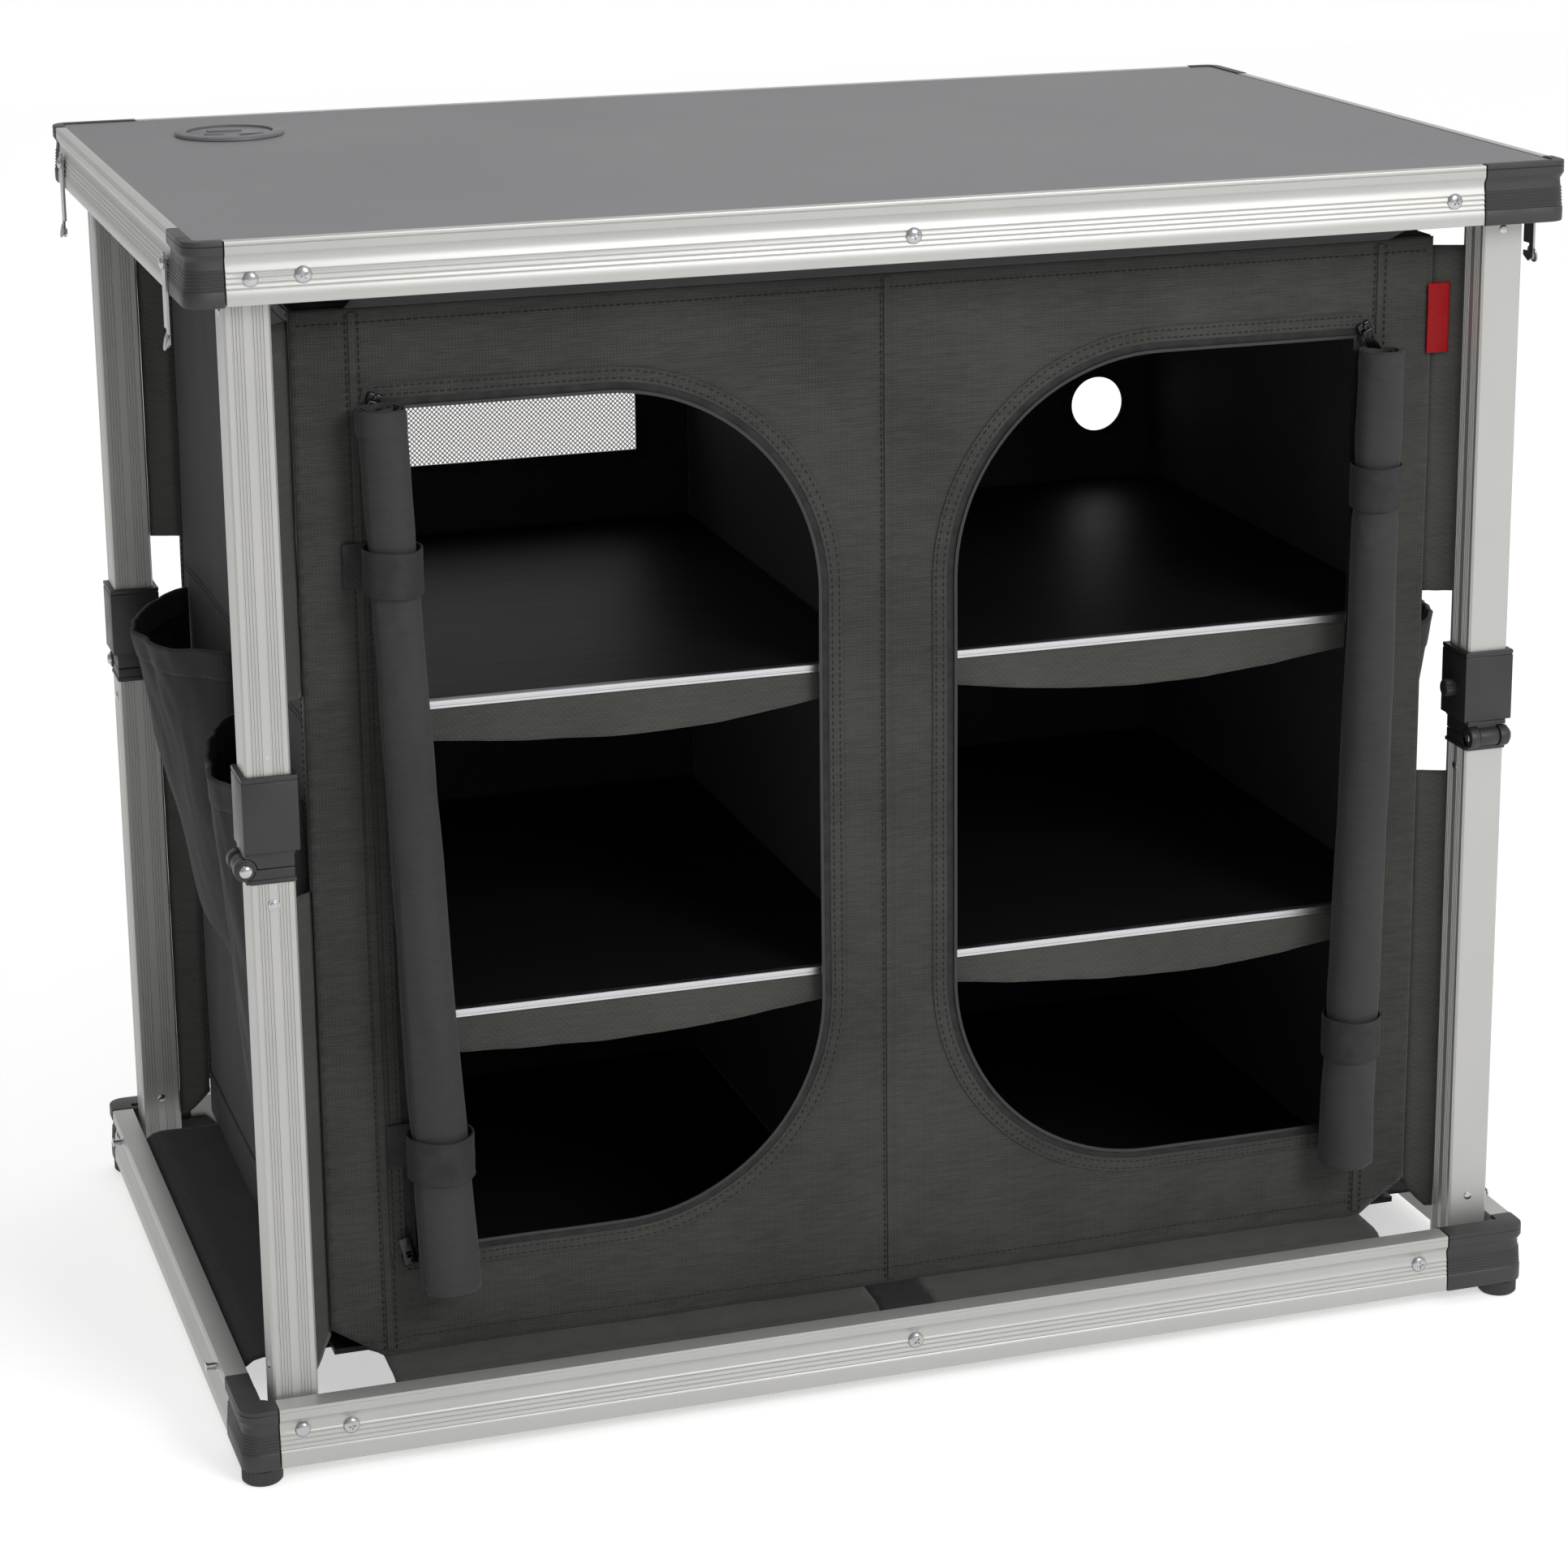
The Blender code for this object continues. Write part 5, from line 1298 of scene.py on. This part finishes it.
def shapePocket(kind, side, first, last, rows, lift, thick):
    # a gathered pouch from one height share to another: widest at its rim, sewn flat to the wall at its foot
    p = pockets
    y0, y1, bulge, low, rim = p[kind]
    y0, y1 = (y0, y1) if side < 0 else (-y1, -y0)
    columns, seed = 56, 70 + side * 3 + (kind == "long")

    def place(i, j):
        share, across = first + (last - first) * i / rows, j / columns
        body = math.sin(math.pi * across) ** p["full"] if 0 < j < columns else 0.0
        swell = bulge * (p["foot"] + (1 - p["foot"]) * share ** 0.85) * body
        fold = 0.0058 * wave(across * 3.1 + share * 2.2, across * 1.5 - share * 2.6, seed)
        crease = 0.0026 * wave(across * 9 - share * 5, share * 4, seed + 5)
        gather = 0.0016 * wave(across * 24, share * 3, seed + 9) * share
        loose = (fold + crease + gather - 0.0030) * min(1, body * 2) * (0.35 + 0.65 * share)
        out = (swell + loose) * min(1, 0.2 + share * 8)
        droop = 0.005 * math.sin(math.pi * across) * share ** 4
        z = low + (rim - low) * share - droop + 0.0022 * wave(across * 6, 1, seed + 2) * share ** 4
        return side * (cloth["halfX"] + 0.0014 + max(0.0002, out) + lift), y0 + (y1 - y0) * across, z

    sheet = gridSheet(rows, columns, place, flip=side < 0)
    top = [vertex.co.copy() for vertex in sheet.data.vertices[-columns - 1:]]
    return thicken(sheet, thick, -1), sum((q - p).length for p, q in zip(top, top[1:]))


def makePockets():
    p = pockets
    for side, sideName in ((-1, "left"), (1, "right")):
        for kind in ("long", "short"):
            high = p[kind][4] - p[kind][3]
            sheet, girth = shapePocket(kind, side, 0.0, 1.0, 52, 0.0, p["cloth"])
            hangCloth(sheet, f"pocket_{kind}_{sideName}", "pocketClothPaintedShade")
            hem, girth = shapePocket(kind, side, 1 - p["hem"] / high, 1.003, 8, 0.0009, 0.0030)
            hangCloth(hem, f"pocket_hem_{kind}_{sideName}", "sideClothPaintedShade")


rolls = {
    "left": (-1, ((0.000, 0.002, 0.018), (0.026, 0.012, 0.0225))),   # side; inset, drop and radius at each end
    "right": (1, ((-0.006, 0.014, 0.0165), (0.007, 0.016, 0.021))),
    "strapZ": (front["doorTop"] - 0.109, front["doorLow"] + 0.084),
    "strapWide": 0.030,
    "strapThick": 0.0012,
    "turns": 2.6,
    "hem": 0.017,
    "rows": 150,
    "columns": 110,
}


def rollAt(side, ends, z):
    # the roll's middle and radius at a height
    (inTop, drop, rTop), (inLow, hang, rLow) = ends
    low = front["doorLow"] - hang
    share = (z - low) / (front["doorTop"] - drop - low)
    r = rLow + (rTop - rLow) * share
    return side * (front["doorOuter"] - (inLow + (inTop - inLow) * share)), cloth["frontY"] - 0.0024 - r, r


def shapeRoll(side, ends, seed):
    # the door's cloth wound as a spiral: its loose edge runs down the front of the roll
    low, high = front["doorLow"] - ends[1][1], front["doorTop"] - ends[0][1]

    def place(i, j):
        z, share = low + (high - low) * i / rolls["rows"], j / rolls["columns"]
        x, y, r = rollAt(side, ends, z)
        y, r = y + 0.0006, r - 0.0006
        angle = side * (1.05 - share * rolls["turns"] * math.tau) - math.pi / 2
        tight = max(math.exp(-((z - s) / 0.020) ** 2) for s in rolls["strapZ"])
        loose = (1 - 0.75 * tight) * (0.35 + 0.65 * min(1, (1 - share) * 2))
        cos, sin = math.cos(angle) + share, math.sin(angle)
        long = 0.0020 * wave(cos * 0.7 + z * 3.5, sin * 0.7 - z * 2.5, seed)
        short = 0.0010 * wave(cos * 1.3 + z * 16, sin * 1.3 + z * 9, seed + 2)
        below = (rolls["strapZ"][0] - 0.022 - z) / 0.016
        pucker = 0.0012 * math.exp(-below ** 2) * wave(angle * 3, z * 160, seed + 4)
        depth = r * (1 - 0.52 * share * share) + min(0.0, loose * (long + short + pucker) - 0.0012)
        depth += 0.0012 * math.exp(-share * 34) - 0.0010 * tight
        return (x + depth * math.cos(angle), y + depth * math.sin(angle),
                z + 0.004 * (0.5 - share) * math.sin(seed) + 0.0015 * wave(angle, seed, 3))

    return thicken(gridSheet(rolls["rows"], rolls["columns"], place), 0.0010, 1 if side > 0 else -1)


def shapeStrap(side, ends, z, seed):
    # webbing sewn beside the doorway, led round the roll and back
    x, y, r = rollAt(side, ends, z)
    half, rows = rolls["strapWide"] / 2, 8
    path = [(x + side * (r + away), cloth["frontY"] - 0.0018) for away in (0.010, 0.003)]
    path += [(x + side * (u - x), v) for u, v in arcPoints(x, y, r + 0.0004, 70, -250, 32)]

    def place(i, k):
        pucker, slip = 0.0005 * wave(i * 0.45, k * 0.8, seed), 0.0016 * wave(i * 0.12, 2, seed + 1)
        dx, dy = path[i][0] - x, path[i][1] - y
        size = math.hypot(dx, dy)
        return (path[i][0] + dx / size * pucker, path[i][1] + dy / size * pucker,
                z - half + 2 * half * k / rows + slip)

    return thicken(gridSheet(len(path) - 1, rows, place), rolls["strapThick"], degrees=50)


def shapeHem(side, ends, seed):
    # the door's own hem, folded over and stitched round the roll's upper end
    columns, rows = 64, 6

    def place(i, j):
        level = front["doorTop"] - ends[0][1] - 0.0005 - rolls["hem"] * i / rows
        x, y, r = rollAt(side, ends, level)
        cos, sin = math.cos(math.tau * j / columns), math.sin(math.tau * j / columns)
        bow = r - 0.0012 + 0.0007 * math.sin(math.pi * i / rows) ** 0.4
        depth = bow + 0.0005 * wave(cos * 2 + i * 0.2, sin * 2, seed) - 0.0004
        return x + depth * cos, y + depth * sin, level

    return thicken(gridSheet(rows, columns, place, True, True), 0.0012, -1, 60)


def makeRolls():
    for name in ("left", "right"):
        side, ends = rolls[name]
        roll = shapeRoll(side, ends, 90 + side * 5)
        wound = [vertex.co for vertex in roll.data.vertices[:rolls["columns"] + 1]]
        length = sum((p - q).length for p, q in zip(wound, wound[1:]))
        hangCloth(roll, f"rolled_door_{name}", "rollCloth",
                  replaced=(f"door_roll_{name}",))
        hangCloth(shapeHem(side, ends, 97 + side), f"rolled_door_hem_{name}", "rollCloth")
        straps = [shapeStrap(side, ends, z, 95 + k) for k, z in enumerate(rolls["strapZ"])]
        hangCloth(joined(*straps), f"door_straps_{name}", "webbing")


redTab = {"low": 0.702, "high": 0.751, "out": 0.013, "thick": 0.0007}


def makeTab():
    # a folded loop of glossy ribbon, caught in the right side seam
    t, rows = redTab, 10
    x, y = cloth["halfX"] + 0.0002, cloth["frontY"] + 0.0002
    loop = [(x - 0.004, y - 0.0016), (x + t["out"] - 0.002, y - 0.0018),
            *arcPoints(x + t["out"] - 0.0016, y, 0.0018, 270, 450, 8),
            (x + t["out"] - 0.002, y + 0.0018), (x + 0.0004, y + 0.0016)]

    def place(i, k):
        return (loop[i][0] + 0.0004 * wave(k * 0.4, i * 0.3, 40), loop[i][1] + 0.0003 * wave(k * 0.6, i, 41),
                t["low"] + (t["high"] - t["low"]) * k / rows)

    hangCloth(thicken(gridSheet(len(loop) - 1, rows, place), t["thick"], degrees=50), "red_tab", "redWebbing")


studio = {
    "floorColour": "#eeeeed",
    "floorGlow": 0.54,
    "worldLevel": 0.5,
    "worldShine": (0.32, 0.82),   # what metal sees to its left and to its right
    "lamps": (  # place, aim, size, power
        ("key", (1.2, -3.4, 2.5), (0, 0, 0.45), 1.4, 62),
        ("fill", (-3.4, -1.6, 2.0), (0, 0, 0.45), 2.4, 1.5),
        ("top", (0.2, 0.6, 3.6), (0, 0, 0.5), 2.6, 12),
    ),
}


def seenDirectly(tree):
    # one for what the camera sees, straight or in a reflection, and nought for light that falls on the object
    ray = addNode(tree, "LightPath")
    seen = addNode(tree, "Math", None, [(0, ray, "Is Camera Ray"), (1, ray, "Is Glossy Ray")], operation="MAXIMUM")
    return addNode(tree, "Math", None, [(0, seen, "Value"), (1, ray, "Is Transmission Ray")], operation="MAXIMUM")


def makeFloor():
    # matt painted board, with a grain too faint to draw the eye
    clearPick()
    bpy.ops.mesh.primitive_plane_add(size=14, location=(0, 0, 0))
    floor = bpy.context.object
    floor.name = "studio_floor"
    made, tree, shader, found = newMaterial("matt_floor", studio["floorColour"], 0.9, 0.0, {
        "grain": (even, "TexNoise", {"Scale": 140.0}),
    }, Emission_Color=(1, 1, 1, 1))
    applyPatterns(tree, shader, relief=(found["grain"], "Fac", 0.03, 0.001))
    glow = addNode(tree, "Math", {1: studio["floorGlow"]}, [(0, seenDirectly(tree), "Value")], operation="MULTIPLY")
    tree.links.new(glow.outputs["Value"], shader.inputs["Emission Strength"])
    floor.data.materials.append(made)


def makeWorld():
    world = bpy.data.worlds.new("studio_world")
    bpy.context.scene.world = world
    world.use_nodes = True
    tree = world.node_tree
    back = tree.nodes["Background"]
    level = addNode(tree, "MapRange", {"To Min": studio["worldLevel"], "To Max": 1.0},
                    [("Value", seenDirectly(tree), "Value")])
    ray = addNode(tree, "LightPath")
    way = addNode(tree, "SeparateXYZ", None, [("Vector", addNode(tree, "TexCoord"), "Generated")])
    dim, full = studio["worldShine"]
    shine = addNode(tree, "MapRange", {"From Min": -0.9, "From Max": 0.3, "To Min": dim, "To Max": full},
                    [("Value", way, "X")])
    part = addNode(tree, "Mix", {"A": 1.0}, [("Factor", ray, "Is Glossy Ray"), ("B", shine, "Result")],
                   data_type="FLOAT")
    strength = addNode(tree, "Math", None, [(0, level, "Result"), (1, part, "Result")], operation="MULTIPLY")
    tree.links.new(strength.outputs["Value"], back.inputs["Strength"])
    back.inputs["Color"].default_value = (1, 1, 1, 1)


def makeLamps():
    for name, place, aim, size, power in studio["lamps"]:
        clearPick()
        bpy.ops.object.light_add(type="AREA", location=place)
        lamp = bpy.context.object
        lamp.name = f"lamp_{name}"
        lamp.data.size = size
        lamp.data.energy = power
        lamp.rotation_euler = (Vector(aim) - Vector(place)).to_track_quat("-Z", "Y").to_euler()


camera = {
    "place": (-0.8552, -2.6873, 1.2307),
    "yaw": 17.717,
    "pitch": 14.928,
    "roll": -0.618,
    "lens": 90.36,
    "shiftY": -0.1,
}


def makeCamera():
    c = camera
    clearPick()
    bpy.ops.object.camera_add(location=c["place"])
    seen = bpy.context.object
    seen.data.sensor_width = 36
    seen.data.lens = c["lens"]
    seen.data.shift_y = c["shiftY"]
    seen.data.clip_start = 0.05
    turn = (Matrix.Rotation(-math.radians(c["yaw"]), 4, "Z")
            @ Matrix.Rotation(math.radians(90 - c["pitch"]), 4, "X")
            @ Matrix.Rotation(math.radians(c["roll"]), 4, "Z"))
    seen.rotation_euler = turn.to_euler()
    bpy.context.scene.camera = seen


makeRails()
print("rails made")
makeCaps()
print("caps made")
makeScrews()
print("screws made")
makeLegs()
makeKnees()
makeSleeves()
makeFeet()
print("legs made")
makeGrommet()
makeLatches()
print("fittings made")
makeFrontPanel()
makeSliders()
print("front panel sewn")
makeWalls()
makeBoards()
print("walls and boards made")
makeTies()
makePockets()
print("ties and pockets made")
makeRolls()
makeTab()
print("doors rolled")
dress("table_panel", "laminate")
print("frame parts dressed")

bpy.context.scene.view_settings.view_transform = "Standard"
makeFloor()
makeWorld()
makeLamps()
makeCamera()
print("studio ready")
